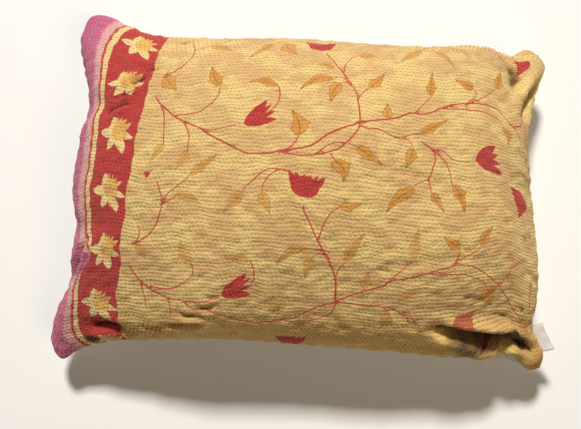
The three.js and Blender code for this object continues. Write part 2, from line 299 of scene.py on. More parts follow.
VINES = rows_of(
    Vine,
    (((61, 68), (58, 92), (53, 113), (21, 160)), 2.6, 1.8),
    (((43, 132), (43, 140), (45, 146), (48, 154), (56, 162)), 1.9, 1.4),
    (((49, 116), (45, 121), (39, 124), (33, 123)), 1.8, 1.2), (((51, 113), (45, 117), (39, 116)), 2, 1.2),
    (((58, 96), (63, 103), (68, 109), (72, 112)), 1.9, 1.3),
    (((-3, 47), (-5, 42), (-9, 37), (-14, 33), (-27, 29)), 1.6, 2),
    (((61, 68), (101, 78), (117, 86), (137, 88), (163, 101), (207, 109), (220, 110), (231, 110),
      (245, 100), (251, 95), (263, 75), (269, 69)), 2.8, 1.8),
    (((122, 87), (130, 96), (141, 109)), 1.6, 1.2),
    (((183, 103), (188, 109), (195, 115), (198, 121), (194, 127)), 2, 1.3),
    (((183, 103), (195, 110), (205, 116), (217, 126), (226, 137)), 2, 1.2),
    (((153, 97), (163, 97), (221, 98), (236, 92)), 2.2, 1.4),
    (((251, 95), (260, 95), (262, 99), (267, 108)), 1.9, 1.2), (((269, 69), (278, 59), (280, 48)), 1.5, 1),
    (((61, 68), (29, 52), (9, 37), (-30, 28), (-49, 27), (-59, 27), (-68, 31), (-100, 47), (-115, 56),
      (-145, 70), (-158, 80), (-175, 96), (-177, 101)), 2.8, 2.4),
    (((-173, 95), (-161, 71), (-154, 40)), 2.4, 1.5),
    (((-138, 66), (-131, 58), (-126, 48), (-125, 38), (-125, 30)), 2.2, 1.4),
    (((-150, 74), (-137, 74), (-126, 75), (-117, 79), (-101, 96), (-98, 107)), 2.2, 1.6),
    (((-120, 59), (-112, 56), (-100, 54), (-77, 60)), 2, 1.2),
    (((62, 64), (72, 61), (83, 62), (103, 54), (116, 53), (120, 45)), 2.4, 1.2),
    (((99, 55), (110, 57), (119, 61), (128, 63)), 1.9, 1.2),
    (((-23, 29), (1, 26), (22, 29), (36, 34), (43, 38), (55, 52), (60, 61), (61, 68)), 2, 2.4),
    (((14, 27), (26, 37), (33, 41), (46, 43), (58, 40)), 2, 1.4), (((29, 30), (33, 27), (36, 23)), 1.8, 1.4),
    (((-32, 109), (-30, 103), (-30, 94), (-32, 86), (-36, 80), (-41, 76)), 2, 1.8),
    (((-167, 126), (-147, 136), (-140, 143), (-135, 152), (-133, 160), (-136, 170), (-142, 179)), 2.2, 1.4),
    (((-167, 126), (-162, 133), (-158, 138)), 2, 1.2),
    (((-133, 164), (-118, 174), (-104, 185), (-99, 203)), 1.6, 1.1),
    (((-45, 170), (-43, 175), (-40, 182), (-31, 185), (-10, 189), (5, 187)), 1.3, 1.1),
    (((131, 187), (134, 191), (141, 196), (146, 193), (146, 184)), 1.3, 1.2),
    (((130, 53), (141, 46), (144, 40), (144, 33), (141, 25), (136, 13), (121, 3)), 2.3, 1.5),
    (((136, 13), (137, 6), (138, -2)), 1.9, 1.3),
    (((137, 48), (144, 46), (153, 35), (158, 26), (161, 6)), 2, 1.3),
    (((144, 46), (154, 45), (164, 35), (183, 34)), 1.8, 1.2),
    (((-155, -4), (-151, -24), (-157, -43), (-161, -53), (-165, -60), (-171, -67), (-183, -76),
      (-187, -77)), 1.8, 2.4),
    (((-153, -30), (-144, -19), (-134, -11), (-126, -4), (-119, 2)), 2.1, 1.4),
    (((-151, -29), (-143, -26), (-137, -23), (-133, -20)), 1.8, 1.2),
    (((-184, -75), (-180, -69), (-180, -61), (-181, -57)), 2, 1.3),
    (((-60, -14), (-56, -8), (-36, 8), (-27, 10), (-19, 10), (-13, 8)), 1.5, 2.2),
    (((-24, 8), (-32, 2), (-37, -4), (-40, -14)), 1.9, 1.3),
    (((2, -29), (2, -35), (10, -54), (31, -91), (49, -136)), 2.2, 2.9),
    (((17, -63), (23, -45), (33, -32), (41, -27)), 2.2, 1.4),
    (((29, -83), (23, -77), (17, -75), (11, -75), (5, -74)), 2.2, 1.2),
    (((29, -84), (24, -81), (18, -80), (14, -82), (11, -85)), 1.9, 1.2),
    (((38, -108), (40, -99), (43, -93), (47, -88)), 2.1, 1.3),
    (((49, -134), (70, -121), (90, -113), (97, -106), (117, -101), (145, -89), (167, -84), (185, -89),
      (215, -115), (241, -140), (264, -152)), 2.6, 1.4),
    (((70, -122), (72, -117)), 2, 1.4),
    (((90, -113), (96, -105), (104, -96), (111, -88), (116, -81)), 1.8, 1.1),
    (((158, -86), (162, -81), (171, -75), (180, -71), (189, -65)), 2, 1.2),
    (((159, -84), (163, -77), (165, -67)), 1.8, 1.2),
    (((134, -94), (166, -95), (176, -97), (194, -107), (201, -115)), 2, 1.2),
    (((215, -115), (223, -114), (228, -108), (230, -101), (236, -94), (251, -80)), 1.9, 1.2),
    (((254, -57), (257, -50), (259, -39), (259, -28)), 1.2, 1),
    (((49, -136), (59, -135), (101, -136), (110, -138), (125, -147), (128, -155)), 2.4, 1.3),
    (((123, -146), (130, -148), (137, -154), (140, -161)), 1.6, 1.2),
    (((125, -147), (136, -148), (146, -150), (155, -152)), 1.4, 1),
    (((88, -136), (95, -134), (101, -132), (105, -131)), 1.8, 1.1),
    (((98, -136), (103, -140), (108, -145)), 1.7, 1.2),
    (((49, -136), (33, -141), (1, -160), (-31, -167), (-43, -168), (-63, -164), (-91, -153), (-106, -152),
      (-113, -149), (-121, -142)), 2.5, 1.8),
    (((-80, -137), (-103, -143), (-126, -142), (-138, -140), (-169, -127), (-187, -113),
      (-193, -105)), 1.5, 2.4),
    (((-178, -122), (-172, -131), (-165, -141), (-163, -152)), 1.9, 1.2),
    (((-142, -138), (-135, -145), (-134, -153), (-135, -163)), 1.9, 1.2),
    (((-121, -97), (-119, -103), (-118, -111), (-122, -117), (-134, -128), (-142, -129), (-150, -129),
      (-169, -126)), 1.8, 2.2),
    (((-55, -92), (-52, -99), (-50, -105), (-49, -113), (-50, -120)), 1.8, 1.6),
    (((50, -137), (42, -152), (8, -167)), 2, 1.2), (((-11, -153), (-17, -161)), 1.5, 1.2),
    (((270, -129), (271, -136), (269, -145), (267, -148)), 1.5, 1.1),
)

LEAVES = rows_of(
    Leaf,
    (-165, 127, -150, 105, 9.2, 0, 0.5, 0.8), (-98, 109, -108, 137, 6.4, 2.2, 1.3),
    (-32, 109, -65, 113, 4.5, -3.4, 1.2), (-116, 172, -88, 159, 4.5, 2.4, 0.2, 0.8),
    (-45, 175, -67, 147, 4.9, 1.3, 0.4, 0.8), (-31, 177, -11, 155, 7.7, -2.1, 0.6, 0.8),
    (-2, 48, -16, 79, 7.7, -3.8, 1), (32, 122, -7, 102, 4.6, -7, 0.9), (39, 116, 27, 89, 6.2, -2.1, 0.4),
    (32, 138, 12, 142, 4.3, -1.3, 0.5, 0.8), (57, 162, 79, 165, 5.2, 0, 1, 0.8),
    (72, 112, 89, 134, 5.4, -0.9, 1.2), (90, 76, 91, 94, 5.6, 0, 1.1, 0.9),
    (130, 183, 105, 153, 4.9, -1.3, 0.6, 0.8), (146, 183, 169, 152, 4.2, 2.4, 0.1, 0.8),
    (169, 197, 186, 171, 2.7, 1.4, 0.1, 0.6), (142, 110, 143, 144, 4.2, 0, 1.9),
    (194, 127, 169, 136, 5.2, 0, 0.4), (229, 138, 232, 165, 5.5, 0, 1.3), (128, 63, 161, 84, 4.4, 0, 0.5),
    (235, 90, 241, 67, 5.5, 5.7, 0.3, 0.9), (260, 134, 268, 125, 2.4, 1, 0, 0.6),
    (268, 102, 274, 86, 2.7, 1.2, 0, 0.6), (59, 40, 87, 22, 5.6, 0, 0.6), (35, 23, 46, -1, 8.1, 5.9, 0.9),
    (120, 45, 111, 21, 5.6, 1, 0.3, 0.9), (121, 1, 87, -31, 5.4, -2.9, 0.5),
    (41, -28, 65, -22, 4.7, 0, 2.2, 0.9), (-8, -55, 6, -56, 4, 2.1, 0.2, 0.5),
    (47, -87, 66, -53, 5.2, 2, 0.3, 0.8), (5, -73, -28, -98, 4.4, -5, 0.2, 0.8),
    (12, -85, 5, -111, 5.6, -1.9, 0.2, 0.7), (71, -117, 73, -97, 4.9, 1.2, 0.9, 0.8),
    (116, -79, 122, -43, 5.1, 1, 0.2, 0.6), (110, -126, 139, -110, 4.6, 1.2, 0.2, 0.7),
    (139, -2, 151, -26, 4.3, 0, 0.3, 0.9), (162, 6, 172, -26, 5.2, 3.7, 0.9),
    (165, -66, 146, -51, 5.3, 0, 0.7), (189, -65, 205, -42, 5.5, 2.3, 0.4, 0.9),
    (235, -87, 225, -72, 3.5, 0, 0.2, 0.7), (230, -103, 238, -120, 3.7, 0, 0, 0.7),
    (266, -104, 267, -128, 2.9, 0.9, 0, 0.7), (201, -115, 219, -143, 7.7, 0, 0.9, 0.9),
    (265, -39, 277, -55, 2.7, -2, 0, 0.6), (264, -154, 280, -170, 5.4, 1.9, 0, 0.7),
    (51, -155, 62, -168, 5.4, 1.2, 0, 0.6), (108, -145, 97, -165, 6, 0, 0, 0.8),
    (-180, -76, -173, -96, 5.5, 0, 0.3, 0.6), (-121, -97, -132, -69, 6, 3.4, 0.4, 0.6),
    (-56, -92, -86, -87, 5.2, 0, 0.3, 0.7), (-11, -153, -21, -130, 8.4, -1.1, 0.9, 0.5),
    (-154, 40, -167, 19, 4.5, 0, 0.3, 0.7), (-119, 2, -90, 27, 4.6, 0, 0.5, 0.8),
    (-61, -15, -87, -41, 5.6, 0, 0.2, 0.7), (-125, 30, -136, 8, 5.1, 1.1, 0.8, 0.6),
    (-133, -20, -109, -30, 5.6, 2.8, 0.8, 0.6), (-41, -15, -34, -40, 6, 0, 0.6, 0.7),
)

BLOOMS = rows_of(
    Bloom,
    (-66.5, 60.9, 31, 34.4, 14.1, 0), (4.9, -19.7, 83, 25.4, 19.8, 1), (12.5, 166.7, 96, 22, 18, 0.6),
    (190.6, 35.8, 8, 33.9, 18.7, 0.4), (264, -1, 196, 21, 20, 1), (271, 188, 180, 15, 14, 1),
    (-78.5, -133, 28, 30.7, 14.3, 0), (175, -154, -4, 26, 14, 0.6, 0.8), (210, -204, 18, 34, 3.4, 0),
    (-1.2, -218.7, 96, 27.6, 18.2, 1), (-167.5, 0.2, 95, 7.5, 3.8, 1),
    (-159.1, 181.1, 10, 10.2, 3.1, 0, 0.9),
)

LOTUSES = rows_of(
    Lotus,
    (-204.9, 176.7, 1.18, -0.31, -0.21, 0.89), (-216, 117.5, 1.23, 0.09, 0.26, 0.8),
    (-216.4, 50.7, 1.06, -0.27, 0.03, 1.01), (-215.2, -18.5, 1.02, -0.04, -0.01, 1.01),
    (-222.9, -87.9, 0.93, 0.1, -0.05, 0.98), (-223.8, -154, 1.2, -0.36, -0.12, 0.89),
    (-221.9, -212.4, 1.14, -0.2, 0.07, 0.71),
)

# The printed strips along the cloth measure v: u of the band's inner and outer edges, then how far left of
# the outer edge the cream line ends and the red line ends. The tuck hides both lines where they are 0.
BAND_EDGES = (
    (-229, -204, -249, 7.5, 11), (-207, -203, -250, 7.5, 11), (-189, -204, -252, 7.5, 11),
    (-167, -197, -253, 6.5, 10.5), (-150, -200, -256, 6, 10.5), (-136, -203, -263.7, 8.5, 12.5),
    (-129, -204, -265, 8.5, 12.5), (-123, -205, -264.7, 3.5, 12), (-117, -205.5, -263, 0.3, 2.5),
    (-112, -206, -259.8, 0, 0), (-107, -205, -255, 0, 0), (-101, -203.5, -249.2, 0, 0),
    (-96, -203, -244.6, 0, 0), (-88.5, -202.5, -241.2, 1.7, 4), (-77, -202, -241.5, 5.4, 10.6),
    (-65.5, -201, -247, 9, 14), (-56, -200.5, -249.5, 8.5, 13.5), (-35, -196, -245, 7.5, 11),
    (-10, -190, -242, 7.5, 11), (8, -188, -240, 7.5, 11), (33, -189, -243, 7.5, 11),
    (50, -190, -244, 7.5, 11), (75, -193, -250, 7.5, 11), (100, -190, -250, 7.5, 11),
    (127, -182, -244, 7.5, 11), (142, -179.5, -241, 8, 11.5), (160, -177, -237, 8.5, 12),
    (174, -177.5, -234, 9, 12.5), (189, -180.5, -235.5, 9.5, 13), (199, -183.5, -236.7, 9.5, 13.5),
    (208, -186.5, -236.8, 9.5, 13.5), (229, -189, -236, 9.5, 13.5),
)

STAINS_AND_SHADOWS = rows_of(
    StainOrShadow,
    ("rusty ear", 296, -214, 17, 0.55, (196, 116, 44)), ("faint rust", 208, -127, 9, 0.35, (206, 140, 70)),
    ("rust by the label", 271, -160, 13, 0.35, (202, 130, 58)),
    ("olive spot", 263.5, -142.7, 3.4, 0.85, (84, 92, 40)),
    # Painted shadow: the rows below are blended SHADED and darken the lower right fold and the hollow of the
    # lower left ear, where shade falls.
    ("start of the fold", 181, -183, 18, 0.65, (92, 78, 34), Blend.SHADED),
    ("deep fold", 199, -189, 26, 0.8, (92, 78, 34), Blend.SHADED),
    ("middle of the fold", 219, -193, 21, 0.85, (92, 78, 34), Blend.SHADED),
    ("fold over the roll", 240, -195, 21, 0.9, (92, 78, 34), Blend.SHADED),
    ("end of the fold", 262, -188, 24, 0.85, (92, 78, 34), Blend.SHADED),
    ("hollow of the lower left ear", -244, -206, 13, 0.8, (70, 60, 26), Blend.SHADED),
)

# Tips of the petals, and their half-widths, in each motif's own frame
FOUR_PETALS = ((0.98, 1.0, 0.26), (1.05, 0.42, 0.24), (1.06, -0.24, 0.24), (0.98, -1.0, 0.26))
SIX_PETALS = ((1.06, 1.0, 0.2), (1.03, 0.6, 0.17), (0.99, 0.2, 0.17), (0.99, -0.2, 0.17), (1.0, -0.6, 0.17),
              (1.0, -1.0, 0.2))
LOTUS_PETALS = ((-1.02, -0.02, 0.27), (-0.62, -0.95, 0.2), (0.33, -1.1, 0.27), (0.95, -0.2, 0.2),
                (-0.2, 0.92, 0.27))
LOTUS_TEETH = ((0.8, 0.62, 0.15), (0.52, 0.8, 0.12), (0.27, 0.88, 0.12), (0.03, 0.9, 0.12))


def smoothstep(low: float, high: float, value: Grid) -> Grid:
    """0 below low, 1 above high, and a smooth rise between."""
    part = np.clip((value - low) / (high - low), 0.0, 1.0)
    return part * part * (3.0 - 2.0 * part)


def off_seam(distance: Grid, reach: float) -> Grid:
    """0 on a seam, and 1 beyond the reach from it."""
    return 1 - np.exp(-((distance / reach) ** 2))


def unit(vectors: Grid) -> Grid:
    """Vectors on the last axis, brought to a length of 1."""
    return vectors / (np.linalg.norm(vectors, axis=-1, keepdims=True) + TINY)


def panel_normals(points: Grid, side: Side) -> Grid:
    """Normals of a panel's grid of points, out of the cushion."""
    return unit(np.cross(np.gradient(points, axis=0), np.gradient(points, axis=1)) * side.value)


def blurred(grid: Grid, reach: int) -> Grid:
    """Means of a grid of points over a square window.

    Args:
        grid: Points on two axes, x, y and z on the last.
        reach: Half the window's side in points.

    Returns:
        The smoothed grid.
    """
    for axis in (0, 1):
        padding = [(0, 0)] * 3
        padding[axis] = (reach + 1, reach)
        total = np.cumsum(np.pad(grid, padding, mode="edge"), axis=axis)
        count = grid.shape[axis]
        upper = np.take(total, np.arange(2 * reach + 1, count + 2 * reach + 1), axis=axis)
        grid = (upper - np.take(total, np.arange(count), axis=axis)) / (2 * reach + 1)
    return grid


def srgb(red: int, green: int, blue: int) -> Colour:
    """A colour given as a screen would show it, as Blender's linear RGBA.

    Args:
        red, green, blue: Shown values, from 0 to 255.

    Returns:
        The colour.
    """
    parts = [c / 255.0 for c in (red, green, blue)]
    linear = [c / 12.92 if c <= 0.04045 else ((c + 0.055) / 1.055) ** 2.4 for c in parts]
    return (linear[0], linear[1], linear[2], 1.0)


def shape_mesh(name: str, points: Grid, faces: Iterable[Sequence[int]],
               smooth: bool = True) -> bpy.types.Object:
    """Makes a mesh object from points in millimetres.

    Args:
        name: Name of the piece.
        points: Vertices, one row each.
        faces: Vertex numbers of each face.
        smooth: Whether its faces are shaded smoothly.

    Returns:
        The object, linked to the scene.
    """
    mesh = bpy.data.meshes.new(name)
    mesh.from_pydata((points * MM).tolist(), [], [list(face) for face in faces])
    mesh.polygons.foreach_set("use_smooth", [smooth] * len(mesh.polygons))
    mesh.update()
    made = bpy.data.objects.new(name, mesh)
    bpy.context.scene.collection.objects.link(made)
    return made


def keep_values(made: bpy.types.Object, **kept: Grid) -> None:
    """Stores triples of numbers on the vertices.

    Args:
        made: The object.
        kept: By the name of the attribute, one row of three for each vertex.
    """
    for name, values in kept.items():
        stored = made.data.attributes.new(name, "FLOAT_VECTOR", "POINT")
        stored.data.foreach_set("vector", np.ascontiguousarray(values, dtype=np.float32).ravel())


@dataclass
class FilledForm:
    """The filled cover's smooth shape, its folds and its unevenness, before the stitch rows."""

    cloth_length: float = 610.0
    cloth_width: float = 457.0
    crown_front: float = 100.0
    crown_back: float = 91.0
    section_power: float = 2.4
    half_length: float = 270.0
    half_width: float = 182.0
    ear_thinning: float = 0.2
    ear_reach: float = 60.0
    flat_below: float = 1.5
    lump: float = 2.0
    lump_fade: float = 30.0
    fold_fade: float = 9.0
    gather_side: float = 1.1
    gather_end: float = 1.2
    section_steps: int = 48
    seam_steps: int = 400
    least_pull: float = 1e-9
    place: Grid = field(default_factory=lambda: np.zeros(3))

    def __post_init__(self) -> None:
        """Moves the form to where the CAD cushion stands."""
        share = np.linspace(0, 1, self.seam_steps)
        seams = (LEFT_SEAM, RIGHT_SEAM, BOTTOM_SEAM, TOP_SEAM)
        line = np.concatenate([self.seam(rows, share) for rows in seams])
        low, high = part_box("cushion")
        middle = (np.array(low) + np.array(high)) / 2 / MM
        drawn = (line.min(0) + line.max(0)) / 2
        self.place = np.array([middle[0] - drawn[0], middle[1] - drawn[1], 0.0])

    @staticmethod
    def seam(rows: Sequence[SeamRow], share: Grid) -> Grid:
        """Smooth curve through the rows of a seam.

        Args:
            rows: The seam's measured places.
            share: Shares of its cloth.

        Returns:
            x, y and z at each share, on a last axis.
        """
        at = np.array([row.at for row in rows])
        step = np.diff(at)
        k = np.clip(np.searchsorted(at, share, side="right") - 1, 0, len(at) - 2)
        t = (share - at[k]) / step[k]
        found = []
        for axis in "xyz":
            y = np.array([getattr(row, axis) for row in rows], dtype=float)
            slope = np.diff(y) / step
            middle = (slope[:-1] * step[1:] + slope[1:] * step[:-1]) / (step[:-1] + step[1:])
            rise = np.concatenate([slope[:1], middle, slope[-1:]])
            found.append((2 * t**3 - 3 * t**2 + 1) * y[k] + (3 * t**2 - 2 * t**3) * y[k + 1]
                         + (t**3 - 2 * t**2 + t) * step[k] * rise[k] + (t**3 - t**2) * step[k] * rise[k + 1])
        return np.stack(found, -1)

    def crown(self, reach: Grid) -> Grid:
        """Share of the crown's height at a plan distance from the middle, from 0 to 1."""
        return np.sqrt(np.clip(1 - np.abs(reach) ** self.section_power, 0, None))

    def plan_reach(self, share: Grid, crown: Grid) -> Grid:
        """Plan distance that a share of the section's arc reaches.

        Args:
            share: Shares of the arc from the middle, from 0 to 1.
            crown: Crown height as a share of the reach.

        Returns:
            Plan distances, from 0 to 1.
        """
        turn = np.linspace(0, np.pi / 2, self.section_steps + 1)
        x, z = np.sin(turn) ** (2 / self.section_power), np.cos(turn)
        length = np.sqrt(np.diff(x) ** 2 + (crown[..., None] * np.diff(z)) ** 2)
        run = np.concatenate([np.zeros(length.shape[:-1] + (1,)), np.cumsum(length, -1)], -1)
        wanted = share * run[..., -1]
        k = np.clip((run <= wanted[..., None]).sum(-1) - 1, 0, self.section_steps - 1)
        before = np.take_along_axis(run, k[..., None], -1)[..., 0]
        after = np.take_along_axis(run, k[..., None] + 1, -1)[..., 0]
        part = (wanted - before) / (after - before)
        return np.sin(np.pi / 2 * (k + part) / self.section_steps) ** (2 / self.section_power)

    def smooth(self, u: Grid, v: Grid, side: Side) -> Grid:
        """Points of the filled form before folds and quilting.

        Args:
            u, v: Cloth measures on a grid.
            side: Which panel.

        Returns:
            x, y and z of each point.
        """
        s, t = 2 * u / self.cloth_length, 2 * v / self.cloth_width
        height = self.crown_front if side is Side.FRONT else self.crown_back
        x, y = s.copy(), t.copy()
        for _ in range(4):
            x, y = (np.sign(s) * self.plan_reach(np.abs(s), height * self.crown(y) / self.half_length),
                    np.sign(t) * self.plan_reach(np.abs(t), height * self.crown(x) / self.half_width))
        a, b = (x + 1) / 2, (y + 1) / 2
        left, right = self.seam(LEFT_SEAM, b), self.seam(RIGHT_SEAM, b)
        bottom, top = self.seam(BOTTOM_SEAM, a), self.seam(TOP_SEAM, a)
        ends = [self.seam(rows, np.array(at)) for at in (0.0, 1.0) for rows in (LEFT_SEAM, RIGHT_SEAM)]
        aa, bb = a[..., None], b[..., None]
        shares = ((1 - aa) * (1 - bb), aa * (1 - bb), (1 - aa) * bb, aa * bb)
        points = (1 - aa) * left + aa * right + (1 - bb) * bottom + bb * top
        points -= sum(share * end for share, end in zip(shares, ends))
        pulls = [1 / (distance**2 + self.least_pull) for distance in (a, 1 - a, b, 1 - b)]
        lines = (left, right, bottom, top)
        level = sum(pull * line[..., 2] for pull, line in zip(pulls, lines)) / sum(pulls)
        corner = np.hypot((1 - np.abs(x)) * self.half_length, (1 - np.abs(y)) * self.half_width)
        ear = 1 - self.ear_thinning * np.exp(-((corner / self.ear_reach) ** 2))
        points[..., 2] = level + side.value * height * self.crown(x) * self.crown(y) * ear
        return points

    def to_seams(self, u: Grid, v: Grid) -> tuple[Grid, Grid]:
        """Distances along the cloth to the nearer side seam and the nearer long seam."""
        return self.cloth_length / 2 - np.abs(u), self.cloth_width / 2 - np.abs(v)

    def to_seam(self, u: Grid, v: Grid) -> Grid:
        """Distance to the nearest seam along the cloth."""
        return np.minimum(*self.to_seams(u, v))

    @staticmethod
    def fold_depth(fold: Fold, u: Grid, v: Grid) -> Grid:
        """Depth of one fold at cloth points.

        Args:
            fold: The fold.
            u, v: Cloth measures.

        Returns:
            How far the cloth sinks, below 0 where it rises.
        """
        du, dv = fold.u1 - fold.u0, fold.v1 - fold.v0
        length = math.hypot(du, dv)
        along = ((u - fold.u0) * du + (v - fold.v0) * dv) / length**2
        t = np.clip(along, 0, 1)
        across = ((v - fold.v0) * du - (u - fold.u0) * dv) / length - fold.bow * np.sin(np.pi * t)
        d = np.hypot(across, (along - t) * length) / fold.wide
        taper = np.minimum(1, 0.25 + 1.3 * np.sin(np.pi * t))
        return fold.sink * taper * (np.exp(-(d**2)) - fold.lip * np.exp(-(((d - 1.9) / 0.9) ** 2)))

    def relief(self, u: Grid, v: Grid, side: Side) -> Grid:
        """How far the cloth stands off the smooth form, before the stitch rows.

        Args:
            u, v: Cloth measures.
            side: Which panel.

        Returns:
            Offsets along the normal.
        """
        near = self.to_seam(u, v)
        lumps = np.sin(u / 68 + 0.6) * np.sin(v / 55 + 1.1) + 0.6 * np.sin(u / 31 - v / 44 + side.value)
        folds = FRONT_FOLDS + FINE_FOLDS if side is Side.FRONT else BACK_FOLDS
        creased = self.crumple(u, v, side) - sum(self.fold_depth(fold, u, v) for fold in folds)
        swell = self.lump * lumps * off_seam(near, self.lump_fade)
        return swell + creased * off_seam(near, self.fold_fade) + self.gathers(u, v)

    @staticmethod
    def crumple(u: Grid, v: Grid, side: Side) -> Grid:
        """Small soft unevenness that hand quilting leaves in the cloth.

        Args:
            u, v: Cloth measures.
            side: Which panel.

        Returns:
            Offsets along the normal, the sum of waves of a length, a direction and a height.
        """
        total = np.zeros_like(u)
        waves = ((37, 0.3, 0.5), (26, 1.2, 0.4), (21, 2.0, 0.35), (17, 2.7, 0.3), (13, 0.8, 0.22),
                 (11, 1.7, 0.18))
        for k, (wave, turn, rise) in enumerate(waves):
            along = u * math.cos(turn) + v * math.sin(turn) * 1.3
            across = v * math.cos(turn) - u * math.sin(turn)
            ridge = np.sin(math.tau * along / wave + k + side.value)
            total += rise * ridge * np.sin(math.tau * across / (wave * 1.7) + 2.1 * k)
        return total

    def gathers(self, u: Grid, v: Grid) -> Grid:
        """Short puckers that run in from the seams.

        Args:
            u, v: Cloth measures.

        Returns:
            Offsets along the normal.
        """
        side, end = self.to_seams(u, v)
        from_side = np.sin(v / 3.1 + 2.2 * np.sin(v / 23)) * np.exp(-side / 11) * (1 - np.exp(-side / 3))
        from_end = np.sin(u / 3.7 + 2.6 * np.sin(u / 31)) * np.exp(-end / 12) * (1 - np.exp(-end / 3))
        return self.gather_side * from_side + self.gather_end * from_end


@dataclass
class StitchPlan:
    """The rows of running stitch: where they lie and how they press the cloth."""

    form: FilledForm
    rows: int = 104
    cells: int = 354
    cells_in_stitch: int = 3
    depth: float = 0.55
    wander_fade: float = 14.0

    @property
    def period(self) -> float:
        """Length of one stitch and its gap."""
        return self.form.cloth_length / self.cells * self.cells_in_stitch

    def wander(self, u: Grid, v: Grid) -> Grid:
        """How far a row strays from its straight line.

        Args:
            u, v: Cloth measures.

        Returns:
            Distance across the rows.
        """
        swing = 1.4 * np.sin(u / 43 + v / 61) + 1.1 * np.sin(u / 19 - v / 37 + 1)
        swing = swing + 0.8 * np.sin(u / 8.3 + v / 12)
        patch = 0.5 + 0.5 * np.sin(u / 33 + v / 25 + 2)
        swing = swing + 0.75 * patch * np.sin(u / 4.3 + v / 21 + 1.5 * np.sin(u / 50))
        return swing * off_seam(self.form.to_seam(u, v), self.wander_fade)

    @staticmethod
    def sway(u: Grid, row: Grid) -> Grid:
        """How far the hand gets ahead along a row, counted in stitches."""
        return 0.3 * np.sin(u / 41 + 0.35 * row)

    def phase(self, u: Grid, row: Grid) -> Grid:
        """Place within a stitch and its gap, counted in stitches. The thread is on top from 0 to 0.5."""
        return u / self.period + ROW_SHIFT * row + self.sway(u, row)

    @staticmethod
    def strength(u: Grid, v: Grid) -> Grid:
        """How hard the rows pull the cloth in: more on the near flank, and uneven as hand work is.

        Args:
            u, v: Cloth measures.

        Returns:
            A share of the full pull.
        """
        flank = 0.2 + 0.1 * (1 - smoothstep(-60, 60, v)) + 0.6 * (1 - smoothstep(-170, -80, v))
        flank = flank + 0.45 * (1 - smoothstep(-200, -90, u))
        patch = np.sin(u / 47 + 1.3 * np.sin(v / 29)) * np.sin(v / 38 + 1.1 * np.sin(u / 61) + 0.8)
        return flank * (1 + 0.38 * patch)

    def press(self, u: Grid, v: Grid, half_row: Grid) -> Grid:
        """Relief of the rows on a grid with two lines of points a row.

        Args:
            u: Cloth measure along the row.
            v: Cloth measure across the rows.
            half_row: Number of the line of points, even on a row of stitching.

        Returns:
            Offsets along the normal.
        """
        row = np.floor(half_row / 2)
        below = np.cos(math.tau * self.phase(u, row))
        above = np.cos(math.tau * self.phase(u, row + 1))
        on_row = -self.depth * (0.32 + 1.1 * below)
        between = self.depth * (0.48 - 0.42 * (below + above))
        return np.where(half_row % 2 == 0, on_row, between) * self.strength(u, v)


